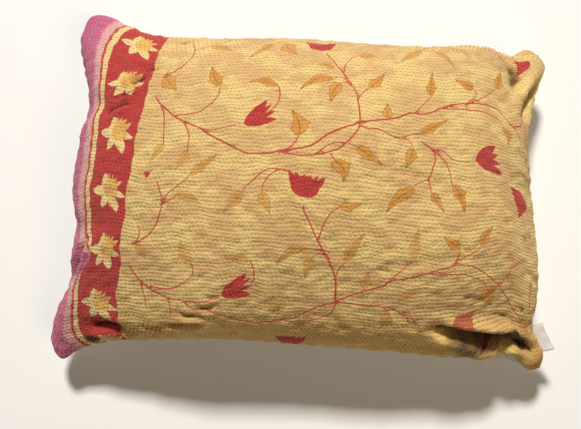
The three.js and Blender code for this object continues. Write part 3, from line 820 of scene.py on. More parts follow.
@dataclass
class BlockPrint:
    """The printed design of the front, as values at cloth points."""

    lotus_size: float = 22.0
    vine_step: float = 3.0
    vine_reach: float = 9.0
    far_vine: Spot = (30.0, 30.0, 2.0)
    far_motif: Spot = (9.0, 9.0, 9.0)
    least_line: float = 0.01

    def curve(self, vine: Vine) -> tuple[Grid, Grid]:
        """Smooth line through a vine's places, and its width along the way.

        Args:
            vine: The vine.

        Returns:
            The line's points and widths.
        """
        at = np.array(vine.places, dtype=float)
        padded = np.concatenate([2 * at[:1] - at[1:2], at, 2 * at[-1:] - at[-2:-1]])
        points = []
        for k in range(len(at) - 1):
            p0, p1, p2, p3 = padded[k:k + 4]
            count = max(2, int(np.linalg.norm(p2 - p1) / self.vine_step))
            t = (np.arange(count) / count)[:, None]
            points.append(0.5 * (2 * p1 + (p2 - p0) * t + (2 * p0 - 5 * p1 + 4 * p2 - p3) * t**2
                                 + (3 * p1 - p0 - 3 * p2 + p3) * t**3))
        line = np.concatenate([*points, at[-1:]])
        run = np.concatenate([[0], np.cumsum(np.linalg.norm(np.diff(line, axis=0), axis=1))])
        return line, vine.start + (vine.end - vine.start) * run / run[-1]

    def vines(self, u: Grid, v: Grid) -> Grid:
        """Where the cloth points lie beside the nearest vine.

        Args:
            u, v: Cloth measures, flat arrays.

        Returns:
            Signed distance across the vine, plain distance, and the vine's width.
        """
        found = np.tile(np.array(self.far_vine), (len(u), 1))
        for vine in VINES:
            line, widths = self.curve(vine)
            low, high = line.min(0) - self.vine_reach, line.max(0) + self.vine_reach
            near = np.flatnonzero((u > low[0]) & (u < high[0]) & (v > low[1]) & (v < high[1]))
            spots = np.stack([u[near], v[near]], -1)[:, None]
            start, run = line[:-1], np.diff(line, axis=0)
            t = np.clip(((spots - start) * run).sum(-1) / (run**2).sum(-1), 0, 1)
            off = spots - (start + run * t[..., None])
            distance = np.linalg.norm(off, axis=-1)
            k = distance.argmin(1)
            pick = np.arange(len(near))
            close = distance[pick, k]
            turn = run[k, 0] * off[pick, k, 1] - run[k, 1] * off[pick, k, 0]
            width = widths[k] + (widths[k + 1] - widths[k]) * t[pick, k]
            values = np.stack([np.where(turn > 0, close, -close), close, width], -1)
            better = close < found[near, 1]
            found[near[better]] = values[better]
        return found

    def nearest(self, u: Grid, v: Grid, motifs: Iterable[tuple]) -> tuple[Grid, Grid]:
        """Place of each cloth point in the frame of the motif that reaches furthest over it.

        Args:
            u, v: Cloth measures, flat arrays.
            motifs: For each its foot u, v, direction in radians, length, half-width, bend and two extras.

        Returns:
            x, y and reach in the motif's frame, and the motif's two extras with its half-width.
        """
        place = np.tile(np.array(self.far_motif), (len(u), 1))
        extras = np.zeros((len(u), 3))
        for foot_u, foot_v, turn, length, half, bend, first, second in motifs:
            du, dv = u - foot_u, v - foot_v
            x = (du * math.cos(turn) + dv * math.sin(turn)) / length
            y = dv * math.cos(turn) - du * math.sin(turn)
            y = (y - bend * np.sin(np.pi * np.clip(x, 0, 1))) / half
            reach = np.maximum(np.abs(x - 0.5) * 2, np.abs(y) * 0.8)
            better = reach < place[:, 2]
            place[better] = np.stack([x, y, reach], -1)[better]
            extras[better] = (first, second, half)
        return place, extras

    def leaves(self, u: Grid, v: Grid) -> tuple[Grid, Grid]:
        """Frames of the nearest leaf.

        Args:
            u, v: Cloth measures, flat arrays.

        Returns:
            x, y and reach in the leaf's frame; barbs, ink and half-width.
        """
        return self.nearest(u, v, [
            (leaf.u0, leaf.v0, math.atan2(leaf.v1 - leaf.v0, leaf.u1 - leaf.u0),
             math.hypot(leaf.u1 - leaf.u0, leaf.v1 - leaf.v0), leaf.half, leaf.bend, leaf.barbs, leaf.ink)
            for leaf in LEAVES])

    def blooms(self, u: Grid, v: Grid) -> tuple[Grid, Grid]:
        """Frames of the nearest red flower.

        Args:
            u, v: Cloth measures, flat arrays.

        Returns:
            x, y and reach in the flower's frame; ink, fullness and half-width.
        """
        return self.nearest(u, v, [
            (bloom.u, bloom.v, math.radians(bloom.turn), bloom.length, bloom.half, 0.0, bloom.ink, bloom.full)
            for bloom in BLOOMS])

    def lotuses(self, u: Grid, v: Grid) -> Grid:
        """Place in the frame of the nearest lotus.

        Args:
            u, v: Cloth measures, flat arrays.

        Returns:
            x, y and distance.
        """
        found = np.tile(np.array(self.far_motif), (len(u), 1))
        for lotus in LOTUSES:
            du, dv = (u - lotus.u) / self.lotus_size, (v - lotus.v) / self.lotus_size
            area = lotus.wide * lotus.tall - lotus.lean * lotus.rise
            x = (lotus.tall * du - lotus.lean * dv) / area
            y = (lotus.wide * dv - lotus.rise * du) / area
            reach = np.hypot(x, y)
            better = reach < found[:, 2]
            found[better] = np.stack([x, y, reach], -1)[better]
        return found

    def strips(self, u: Grid, v: Grid) -> Grid:
        """Distance left of the band's inner edge, place across its outer lines, and how much these show.

        Args:
            u, v: Cloth measures, flat arrays.

        Returns:
            The three values. The cream line runs from 0 to 1 across the outer lines and the red one from 1
            to 2; beyond, one is 4 mm.
        """
        at, *columns = zip(*BAND_EDGES)
        inner, outer, cream, red = (np.interp(v, at, column) for column in columns)
        ripple = 0.5 * np.sin(v / 9.5) + 0.35 * np.sin(v / 4.1 + 1)
        off = outer + 0.6 * ripple - u
        in_cream = off / np.maximum(cream, self.least_line)
        in_red = 1 + (off - cream) / np.maximum(red - cream, self.least_line)
        shown = smoothstep(1.0, 5.0, np.maximum(red, self.least_line))
        beyond = 2 + (off - red) / 4 + 3 * (1 - shown)
        across = np.where(off > red, beyond, np.where(off < cream, in_cream, in_red))
        across = np.where(off < 0, off / 4, across)
        return np.stack([inner + ripple - u, across, shown], -1)


class Wire:
    """One output of a node. Signs of arithmetic between wires and numbers make Math nodes."""

    def __init__(self, graph: "Graph", socket: bpy.types.NodeSocket) -> None:
        """Keeps the output and its graph."""
        self.graph = graph
        self.socket = socket

    def __add__(self, other: object) -> "Wire":
        """Sum of two values."""
        return self.graph.math("ADD", self, other)

    def __sub__(self, other: object) -> "Wire":
        """Difference of two values."""
        return self.graph.math("SUBTRACT", self, other)

    def __rsub__(self, other: float) -> "Wire":
        """Difference of a number and this value."""
        return self.graph.math("SUBTRACT", other, self)

    def __mul__(self, other: object) -> "Wire":
        """Product of two values."""
        return self.graph.math("MULTIPLY", self, other)

    def __truediv__(self, other: object) -> "Wire":
        """Quotient of two values."""
        return self.graph.math("DIVIDE", self, other)

    def __abs__(self) -> "Wire":
        """This value without its sign."""
        return self.graph.math("ABSOLUTE", self)

    def most(self, other: object) -> "Wire":
        """The larger of two values."""
        return self.graph.math("MAXIMUM", self, other)

    def least(self, other: object) -> "Wire":
        """The smaller of two values."""
        return self.graph.math("MINIMUM", self, other)


class Graph:
    """Short ways to make and link the nodes of one node tree."""

    def __init__(self, tree: bpy.types.NodeTree) -> None:
        """Keeps the tree that the nodes go into."""
        self.tree = tree

    def node(self, kind: str, **settings: object) -> bpy.types.Node:
        """A new node of a kind, with its settings.

        Args:
            kind: Blender's name of the kind.
            settings: Its properties by their names.

        Returns:
            The node.
        """
        made = self.tree.nodes.new(kind)
        for name, value in settings.items():
            setattr(made, name, value)
        return made

    def feed(self, socket: bpy.types.NodeSocket, value: object) -> None:
        """Links a wire to a socket, or sets the socket's own value.

        Args:
            socket: The input.
            value: A wire, or the plain value.
        """
        if isinstance(value, Wire):
            self.tree.links.new(value.socket, socket)
        else:
            socket.default_value = value

    def worked_out(self, made: bpy.types.Node, output: str, values: Iterable[object]) -> Wire:
        """Feeds a node's first inputs and gives one output.

        Args:
            made: The node.
            output: Name of the output.
            values: What goes into its inputs, in their order.

        Returns:
            The output.
        """
        for socket, value in zip(made.inputs, values):
            self.feed(socket, value)
        return Wire(self, made.outputs[output])

    def math(self, kind: str, *values: object) -> Wire:
        """A Math node's result."""
        return self.worked_out(self.node("ShaderNodeMath", operation=kind), "Value", values)

    def vector(self, kind: str, *values: object) -> Wire:
        """A Vector Math node's result: a vector, but one value for a length or a dot product."""
        output = "Value" if kind in ("LENGTH", "DOT_PRODUCT") else "Vector"
        return self.worked_out(self.node("ShaderNodeVectorMath", operation=kind), output, values)

    def step(self, low: float, high: float, value: Wire) -> Wire:
        """0 at low and 1 at high, smooth between; low may be above high.

        Args:
            low, high: Where the rise starts and ends.
            value: What rises.

        Returns:
            The result.
        """
        made = self.node("ShaderNodeMapRange", interpolation_type="SMOOTHSTEP")
        ends = (0.0, 1.0) if low < high else (1.0, 0.0)
        return self.worked_out(made, "Result", (value, min(low, high), max(low, high), *ends))

    def mix(self, share: Wire, under: object, over: object, blend: Blend = Blend.LAID) -> Wire:
        """One colour over another by a share.

        Args:
            share: How much of the upper colour shows.
            under, over: The two colours.
            blend: How the upper one lies on the lower.

        Returns:
            The colour.
        """
        made = self.node("ShaderNodeMix", data_type="RGBA", blend_type=blend.value)
        for place, value in ((0, share), (6, under), (7, over)):
            self.feed(made.inputs[place], value)
        return Wire(self, made.outputs[2])

    def noise(self, place: Wire, scale: float, detail: float = 2.0, rough: float = 0.5) -> Wire:
        """A noise value at a place.

        Args:
            place: Where it is read.
            scale, detail, rough: How fine, how rich and how harsh it is.

        Returns:
            The value.
        """
        made = self.node("ShaderNodeTexNoise")
        for name, value in (("Vector", place), ("Scale", scale), ("Detail", detail), ("Roughness", rough)):
            self.feed(made.inputs[name], value)
        return Wire(self, made.outputs["Fac"])

    def attribute(self, name: str) -> Wire:
        """The triple that the mesh stores under a name."""
        return Wire(self, self.node("ShaderNodeAttribute", attribute_name=name).outputs["Vector"])

    def parts(self, vector: Wire) -> list[Wire]:
        """The x, y and z of a vector.

        Args:
            vector: The vector.

        Returns:
            The three values.
        """
        made = self.node("ShaderNodeSeparateXYZ")
        self.feed(made.inputs[0], vector)
        return [Wire(self, socket) for socket in made.outputs]

    def group(self, tree: bpy.types.NodeTree, **values: object) -> dict[str, Wire]:
        """Places a shared node group here.

        Args:
            tree: The group.
            values: What goes into its inputs, by their names.

        Returns:
            Its outputs by their names.
        """
        made = self.node("ShaderNodeGroup", node_tree=tree)
        for name, value in values.items():
            self.feed(made.inputs[name], value)
        return {socket.name: Wire(self, socket) for socket in made.outputs}


class SharedGraph(Graph):
    """The graph of one shared node group."""

    def __init__(self, name: str, **inputs: str) -> None:
        """Starts a group.

        Args:
            name: Name of the group.
            inputs: Vector or Float, by the name of the input.
        """
        super().__init__(bpy.data.node_groups.new(name, "ShaderNodeTree"))
        for title, kind in inputs.items():
            self.tree.interface.new_socket(title, in_out="INPUT", socket_type=f"NodeSocket{kind}")
        given = self.node("NodeGroupInput")
        self.given = [Wire(self, given.outputs[title]) for title in inputs]

    def ended(self, **values: Wire) -> bpy.types.NodeTree:
        """Gives the group its outputs, all of them single values.

        Args:
            values: The outputs by their names.

        Returns:
            The group.
        """
        for title in values:
            self.tree.interface.new_socket(title, in_out="OUTPUT", socket_type="NodeSocketFloat")
        put = self.node("NodeGroupOutput")
        for title, value in values.items():
            self.feed(put.inputs[title], value)
        return self.tree


class Surface(Graph):
    """The graph of one material, with its Principled BSDF."""

    def __init__(self, name: str) -> None:
        """Starts a material.

        Args:
            name: Name of the material.
        """
        self.material = bpy.data.materials.new(name)
        self.material.use_nodes = True
        super().__init__(self.material.node_tree)

    def bump(self, height: Wire, strength: float, reach: float) -> Wire:
        """The normal that a height gives.

        Args:
            height: The height.
            strength: How strongly it shows, from 0 to 1.
            reach: Its full height in metres.

        Returns:
            The normal.
        """
        made = self.node("ShaderNodeBump")
        for name, value in (("Strength", strength), ("Distance", reach), ("Height", height)):
            self.feed(made.inputs[name], value)
        return Wire(self, made.outputs["Normal"])

    def finished(self, **values: object) -> bpy.types.Material:
        """Feeds the shader, by the names of its sockets with _ for a space.

        Args:
            values: What goes into its inputs.

        Returns:
            The material.
        """
        shader = self.tree.nodes["Principled BSDF"]
        for name, value in values.items():
            self.feed(shader.inputs[name.replace("_", " ")], value)
        return self.material


class Effects:
    """The shader node groups that the finishes share, each built once."""

    cover_threads: float = 5.2

    def __init__(self) -> None:
        """Builds the groups."""
        self.weave = self.build_weave()
        self.quilting = self.build_quilting()
        self.petal = self.build_petal()
        self.wear = self.build_wear()

    @staticmethod
    def build_weave() -> bpy.types.NodeTree:
        """Plain weave of the cotton, from cloth measures and the turns of its threads in a millimetre.

        Returns:
            The group.
        """
        g = SharedGraph("plain_weave", Cloth="Vector", Threads="Float")
        cloth, threads = g.given
        u, v, _ = g.parts(cloth)
        cross = g.math("SINE", u * threads) * g.math("SINE", v * threads)
        slub = g.noise(cloth, 1.9, 3.0, 0.6)
        return g.ended(Height=cross * 0.5 + slub, Shade=cross * 0.12 + slub * 0.5)

    @staticmethod
    def build_quilting() -> bpy.types.NodeTree:
        """Furrows, stitch dimples and puffs of the running stitch, from its place in rows and stitches.

        Returns:
            The group.
        """
        g = SharedGraph("running_stitch", Quilt="Vector")
        along, across, _ = g.parts(g.given[0])
        bent = across + g.math("SINE", along * math.tau) * 0.09
        row = g.math("ROUND", bent)
        off = abs(bent - row)
        phase = g.math("FRACT", along + row * ROW_SHIFT)
        to_end = abs(g.math("FRACT", phase * 2.0) - 0.5)
        hole = g.step(0.28, 0.5, to_end) * g.step(0.26, 0.0, off)
        furrow = g.step(0.34, 0.0, off)
        puff = g.step(0.5, 0.1, to_end) * g.step(0.1, 0.5, off)
        return g.ended(Height=puff * 0.5 - (furrow * 0.22 + hole * 0.8), Hollow=furrow, Dimple=hole)

    @staticmethod
    def build_petal() -> bpy.types.NodeTree:
        """One pointed petal from a place: below 0 inside it. Along is its tip over its length squared.

        Returns:
            The group.
        """
        g = SharedGraph("petal", Place="Vector", Along="Vector", Width="Float")
        place, tip, width = g.given
        along = g.vector("DOT_PRODUCT", place, tip)
        a, b, _ = g.parts(tip)
        x, y, _ = g.parts(place)
        across = abs(a * y - b * x) / g.vector("LENGTH", tip)
        return g.ended(Edge=across - along * (1.0 - along) * 4.0 * width)

    @staticmethod
    def build_wear() -> bpy.types.NodeTree:
        """Slow fading and fine soiling of washed cotton, from cloth measures.

        Returns:
            The group.
        """
        g = SharedGraph("wash_wear", Cloth="Vector")
        cloth = g.given[0]
        wide = g.vector("MULTIPLY", cloth, (0.55, 1.0, 1.0))
        slow = g.step(0.46, 0.55, g.noise(wide, 0.036, 4.0, 0.6))
        streak = g.step(0.42, 0.6, g.noise(g.vector("MULTIPLY", wide, (0.5, 1.0, 1.0)), 0.2, 3.0, 0.6))
        soil = g.step(0.6, 0.78, g.noise(cloth, 0.05, 4.0, 0.65))
        return g.ended(Faded=slow * 0.74 + streak * 0.26, Soil=soil, Grain=g.noise(cloth, 0.62, 2.0, 0.7))

    def on_cover(self, g: Graph) -> tuple[Wire, dict[str, Wire], dict[str, Wire], dict[str, Wire]]:
        """Places what both sides of the cover share.

        Args:
            g: Graph of the material.

        Returns:
            The cloth measures, and the outputs of quilting, weave and wear.
        """
        cloth = g.attribute("cloth")
        return (cloth, g.group(self.quilting, Quilt=g.attribute("quilt")),
                g.group(self.weave, Cloth=cloth, Threads=self.cover_threads), g.group(self.wear, Cloth=cloth))


@dataclass(frozen=True)
class PrintedCotton:
    """Finish of the front: block print on quilted cotton."""

    effects: Effects
    tan: Colour = srgb(217, 179, 122)
    lemon: Colour = srgb(236, 211, 138)
    lower_flank_shade: Colour = srgb(216, 178, 92)
    furrow_shade: Colour = srgb(212, 158, 106)
    fleck: Colour = srgb(226, 150, 78)
    ochre: Colour = srgb(224, 162, 76)
    gold: Colour = srgb(230, 172, 88)
    amber: Colour = srgb(206, 140, 60)
    umber: Colour = srgb(104, 68, 30)
    red: Colour = srgb(200, 66, 62)
    deep_red: Colour = srgb(158, 36, 42)
    cream: Colour = srgb(238, 210, 144)
    pink: Colour = srgb(218, 150, 160)
    pale_pink: Colour = srgb(234, 196, 170)
    magenta: Colour = srgb(208, 106, 142)
    plum: Colour = srgb(176, 74, 122)
    dimple_shade: Colour = srgb(130, 84, 46)
    pinch_shade: Colour = srgb(150, 108, 58)
    crease_shade: Colour = srgb(120, 84, 40)
    valley_shade: Colour = srgb(92, 72, 30)
    soil_shade: Colour = srgb(150, 130, 90)
    roughness: float = 0.82
    sheen: float = 0.12
    sheen_roughness: float = 0.6
    shine: float = 0.25
    bump: float = 0.8
    bump_reach: float = 0.0009
    widest: float = 0.36

    def leaf_colour(self, g: Graph, ground: Wire, grain: Wire) -> Wire:
        """Lays the leaves over the ground.

        Args:
            g: The material's graph.
            ground: Colour under them.
            grain: Small irregular value of the print.

        Returns:
            The colour with leaves.
        """
        x, y, reach = g.parts(g.attribute("leaf"))
        barbs, ink, _ = g.parts(g.attribute("leaf_kind"))
        near_foot = (1.0 - x / self.widest).most(0.0)
        near_tip = ((x - self.widest) / (1 - self.widest)).most(0.0)
        foot = g.math("SQRT", (1.0 - near_foot * near_foot).most(0.0))
        point = g.math("POWER", (1.0 - near_tip).most(0.0), 0.95)
        spike = (1.0 - abs((x - (self.widest - 0.02)) / 0.075)).most(0.0)
        off = abs(y)
        ragged = (grain - 0.5) * 0.42
        depth = foot * point * 1.14 + spike * barbs * 0.46 + ragged - off
        here = g.step(-0.04, 0.1, depth) * g.step(1.42, 1.32, reach)
        here = here * (g.step(0.0, 0.05, x) * g.step(1.03, 0.99, x))
        rib = g.step(0.16, 0.04, off + ragged * 0.3) * g.step(0.8, 0.5, x)
        veins = g.step(0.3, 0.1, g.math("FRACT", (x - off * 0.22) * 5.0)) * g.step(0.8, 0.2, off)
        rim = g.step(0.28, 0.04, depth) * (g.step(0.36, 0.56, grain) * 0.6 + 0.25)
        tip = g.step(0.74, 0.94, x)
        dark = (rib * 0.7).most(veins * 0.3).most(rim.most(tip)) * g.step(0.12, 0.5, grain)
        body = g.mix(g.step(0.35, 0.7, grain), self.ochre, self.amber)
        return g.mix(here * ink, ground, g.mix(dark * 0.8, body, self.umber))

    def vine_colour(self, g: Graph, ground: Wire, grain: Wire) -> Wire:
        """Lays the stems over the ground.

        Args:
            g: The material's graph.
            ground: Colour under them.
            grain: Small irregular value of the print.

        Returns:
            The colour with stems.
        """
        signed, plain, width = g.parts(g.attribute("vine"))
        half = width * 0.38
        off = abs(signed) - half + (grain - 0.5) * 1.5
        here = g.step(0.3, -0.3, off) * g.step(0.25, -0.25, plain - (half + 1.3))
        return g.mix(here * 0.92, ground, g.mix(g.step(0.45, 0.7, grain), self.red, self.deep_red))

    def bloom_colour(self, g: Graph, ground: Wire, grain: Wire) -> Wire:
        """Lays the red flowers over the ground.

        Args:
            g: The material's graph.
            ground: Colour under them.
            grain: Small irregular value of the print.

        Returns:
            The colour with flowers.
        """
        place = g.attribute("bloom")
        x, _, reach = g.parts(place)
        ink, full, _ = g.parts(g.attribute("bloom_kind"))
        cup = self.oval(g, place, (0.45, 0.0), (0.45, 0.72)) * 0.4
        narrow = self.fan(g, place, FOUR_PETALS) * g.step(0.55, 0.45, full)
        wide = self.fan(g, place, SIX_PETALS).least(cup) * g.step(0.45, 0.55, full)
        edge = narrow + wide + (grain - 0.5) * 0.07
        here = g.step(0.02, -0.02, edge) * g.step(1.45, 1.35, reach) * g.step(1.15, 1.1, x)
        colour = g.mix(g.step(0.42, 0.66, grain), self.red, self.deep_red)
        return g.mix(here * ink, ground, colour)

    @staticmethod
    def oval(g: Graph, place: Wire, middle: tuple[float, float], half: tuple[float, float]) -> Wire:
        """A value below 0 inside an oval, with its middle and half sizes in the motif's frame."""
        off = g.vector("SUBTRACT", place, (*middle, 0.0))
        return g.vector("LENGTH", g.vector("MULTIPLY", off, (1 / half[0], 1 / half[1], 0.0))) - 1.0

    def fan(self, g: Graph, place: Wire, petals: Sequence[Spot]) -> Wire:
        """The nearest edge of several petals that start at one place.

        Args:
            g: The material's graph.
            place: Place in the motif's frame.
            petals: x and y of each petal's tip, and its half-width.

        Returns:
            A value below 0 inside any of them.
        """
        edges = []
        for x, y, half in petals:
            along = (x / (x**2 + y**2), y / (x**2 + y**2), 0.0)
            edges.append(g.group(self.effects.petal, Place=place, Along=along, Width=half)["Edge"])
        return reduce(Wire.least, edges)

    def lotus_colour(self, g: Graph, ground: Wire, grain: Wire) -> Wire:
        """Lays the lotuses over the red band.

        Args:
            g: The material's graph.
            ground: Colour of the band.
            grain: Small irregular value of the print.

        Returns:
            The colour with lotuses.
        """
        place = g.attribute("lotus")
        reach = g.parts(place)[2]
        ragged = (grain - 0.5) * 0.05
        teeth = self.fan(g, place, LOTUS_TEETH)
        heart = self.oval(g, place, (0.14, 0.03), (0.44, 0.46)) * 0.4
        cheek = self.oval(g, place, (-0.2, 0.1), (0.3, 0.45)) * 0.3
        edge = self.fan(g, place, LOTUS_PETALS).least(cheek).least(teeth.least(heart)) + ragged
        golden = g.step(0.02, -0.03, heart.least(teeth) + ragged) * g.step(0.98, 0.8, reach)
        veins = g.step(0.35, 0.75, g.noise(g.vector("MULTIPLY", place, (9.0, 3.0, 1.0)), 1.0))
        flower = g.mix(golden, self.cream, g.mix(veins * 0.45, self.gold, self.lemon))
        lines = g.step(0.02, 0.005, abs(teeth)) * g.step(0.4, 0.6, grain)
        outline = g.step(-0.09, -0.02, edge) * g.step(0.5, 0.66, grain)
        flower = g.mix((outline * 0.5).most(lines * 0.6), flower, self.umber)
        return g.mix(g.step(0.025, -0.025, edge) * g.step(1.25, 1.2, reach), ground, flower)

    def border_colour(self, g: Graph, ground: Wire, grain: Wire) -> Wire:
        """Lays the red band with its lotuses, the lines and the pink strips over the ground.

        Args:
            g: The material's graph.
            ground: Colour under them.
            grain: Small irregular value of the print.

        Returns:
            The colour with the border.
        """
        inner, outer, shown = g.parts(g.attribute("strip"))
        row = g.parts(g.attribute("quilt"))[1]
        wobble = (grain - 0.5) * 1.6
        inner, outer = inner + wobble, outer + wobble * 0.2
        red = g.mix(g.step(0.4, 0.7, grain), self.red, self.deep_red)
        colour = g.mix(g.step(-0.4, 0.4, inner), ground, self.lotus_colour(g, red, grain))
        colour = g.mix(g.step(-0.06, 0.06, outer) * shown, colour, self.cream)
        ticks = g.step(0.34, 0.0, abs(row - g.math("ROUND", row))) * g.step(0.4, 0.7, grain)
        colour = g.mix(ticks * g.step(0.05, 0.2, outer) * 0.5, colour, self.umber)
        colour = g.mix(g.step(0.92, 1.08, outer) * shown, colour, self.red)
        pink = g.mix(g.step(0.38, 0.66, grain), self.pink, self.pale_pink)
        colour = g.mix(g.step(1.85, 2.15, outer), colour, pink)
        magenta = g.mix(g.step(0.36, 0.56, grain), self.plum, self.magenta)
        magenta = g.mix(g.step(0.56, 0.7, grain) * g.step(14.0, 5.0, outer), magenta, self.pale_pink)
        return g.mix(g.step(4.0, 5.5, outer + (grain - 0.5) * 3.0), colour, magenta)

    def stained_and_shaded(self, g: Graph, ground: Wire, grain: Wire) -> Wire:
        """Lays the stains, and the painted shadows of the lower right fold and of the lower left ear's
        hollow, over the print.

        Args:
            g: The material's graph.
            ground: Colour under them.
            grain: Small irregular value of the print.

        Returns:
            The colour with stains and painted shadows.
        """
        cloth = g.attribute("cloth")
        # Rows blended SHADED multiply in painted shadow; the others lay real rust and spots.
        for mark in STAINS_AND_SHADOWS:
            off = g.vector("LENGTH", g.vector("SUBTRACT", cloth, (mark.u, mark.v, 0.0)))
            ragged = off + (grain - 0.5) * (mark.reach * 0.8)
            share = g.step(mark.reach, mark.reach * 0.35, ragged) * mark.share
            ground = g.mix(share, ground, mark.colour, mark.blend)
        return ground

    def material(self) -> bpy.types.Material:
        """The finished material.

        Returns:
            The material.
        """
        g = Surface("printed_cotton")
        cloth, quilt, weave, wear = self.effects.on_cover(g)
        grain = wear["Grain"]
        colour = g.mix(wear["Faded"] * 0.95 + (weave["Shade"] - 0.25) * 0.7, self.tan, self.lemon)
        # Painted shade: the cloth turns a darker pinkish tan in the furrows of the stitch rows.
        colour = g.mix(quilt["Hollow"] * 0.14, colour, self.furrow_shade)
        # Painted shade: a warmer, deeper yellow towards the lower flank, which faces away from the key light.
        colour = g.mix(g.step(-140.0, -185.0, g.parts(cloth)[1]) * 0.5, colour, self.lower_flank_shade)
        flecks = g.noise(g.vector("MULTIPLY", cloth, (1.0, 1.25, 1.0)), 0.5, 1.0, 0.4)
        colour = g.mix(g.step(0.54, 0.7, flecks) * 0.5, colour, self.fleck)
        for lay in (self.leaf_colour, self.vine_colour, self.bloom_colour, self.border_colour, self.stained_and_shaded):
            colour = lay(g, colour, grain)
        # Painted shade: the stitch dimples, pinches, creases and fold valleys darken by how far the cloth
        # sinks below its surroundings. The last entry is the cloth's own soiling.
        pinch, crease, valley = g.parts(g.attribute("sunk"))
        for share, shade in ((quilt["Dimple"] * 0.42, self.dimple_shade),
                             (g.step(0.1, 0.55, pinch) * 0.5, self.pinch_shade),
                             (g.step(0.5, 2.2, crease) * 0.6, self.crease_shade),
                             (g.step(1.6, 5.5, valley) * 0.9, self.valley_shade),
                             (wear["Soil"] * 0.12, self.soil_shade)):
            colour = g.mix(share, colour, shade, Blend.SHADED)
        pucker = g.noise(g.vector("MULTIPLY", cloth, (0.6, 1.0, 1.0)), 0.36, 2.0, 0.6)
        height = quilt["Height"] * 0.7 + weave["Height"] * 0.12 + pucker * 1.2
        return g.finished(Base_Color=colour, Roughness=grain * 0.12 + self.roughness, Sheen_Weight=self.sheen,
                          Sheen_Roughness=self.sheen_roughness, Specular_IOR_Level=self.shine,
                          Normal=g.bump(height, self.bump, self.bump_reach))


@dataclass(frozen=True)
class PlainKantha:
    """Finish of the back: plain quilted cotton, grey-white."""

    effects: Effects
    cloth: Colour = srgb(214, 208, 196)
    shade: Colour = srgb(186, 180, 168)
    soil_shade: Colour = srgb(196, 176, 140)
    roughness: float = 0.84
    sheen: float = 0.12
    shine: float = 0.25
    bump: float = 0.8
    bump_reach: float = 0.0009

    def material(self) -> bpy.types.Material:
        """The finished material.

        Returns:
            The material.
        """
        g = Surface("plain_kantha")
        _, quilt, weave, wear = self.effects.on_cover(g)
        # Painted shade in the row furrows, mixed with fading from wear, as one darker grey.
        colour = g.mix(quilt["Hollow"] * 0.5 + wear["Faded"] * 0.3, self.cloth, self.shade)
        colour = g.mix(wear["Soil"] * 0.2, colour, self.soil_shade, Blend.SHADED)
        height = quilt["Height"] * 0.75 + weave["Height"] * 0.12
        return g.finished(Base_Color=colour, Roughness=wear["Grain"] * 0.12 + self.roughness,
                          Sheen_Weight=self.sheen, Specular_IOR_Level=self.shine,
                          Normal=g.bump(height, self.bump, self.bump_reach))


@dataclass(frozen=True)
class QuiltingThread:
    """Finish of the running stitch: twisted cotton thread, its shade stored on the mesh."""

    golden: Colour = srgb(226, 172, 92)
    pale: Colour = srgb(240, 218, 206)
    bleached: Colour = srgb(238, 206, 140)
    twist_shade: Colour = srgb(190, 150, 110)
    twists: float = 26.0
    roughness: float = 0.7
    sheen: float = 0.2

    def material(self) -> bpy.types.Material:
        """The finished material.

        Returns:
            The material.
        """
        g = Surface("quilting_thread")
        tone, along, chance = g.parts(g.attribute("thread"))
        twist = g.math("SINE", along * self.twists)
        colour = g.mix(chance * 0.4, g.mix(tone, self.golden, self.pale), self.bleached)
        colour = g.mix(g.step(0.2, -0.8, twist), colour, self.twist_shade, Blend.SHADED)
        return g.finished(Base_Color=colour, Roughness=twist * 0.08 + self.roughness, Sheen_Weight=self.sheen)


@dataclass(frozen=True)
class LabelTape:
    """Finish of the label: bare white woven tape."""

    effects: Effects
    white: Colour = srgb(253, 252, 250)
    grey: Colour = srgb(234, 232, 234)
    overlock: Colour = srgb(206, 150, 128)
    threads: float = 9.5
    roughness: float = 0.62
    sheen: float = 0.1
    bump: float = 0.5
    bump_reach: float = 0.0003

    def material(self) -> bpy.types.Material:
        """The finished material.

        Returns:
            The material.
        """
        g = Surface("label_tape_cloth")
        cloth = g.attribute("cloth")
        weave = g.group(self.effects.weave, Cloth=cloth, Threads=self.threads)
        along, _, to_edge = g.parts(cloth)
        stitch = g.step(0.75, 0.35, g.math("FRACT", along * 0.62))
        sewn = g.step(0.9, 0.5, to_edge) * (stitch * 0.5 + 0.3)
        colour = g.mix(sewn, g.mix(weave["Shade"], self.white, self.grey), self.overlock)
        return g.finished(Base_Color=colour, Roughness=weave["Shade"] * 0.1 + self.roughness,
                          Sheen_Weight=self.sheen, Normal=g.bump(weave["Height"], self.bump, self.bump_reach))


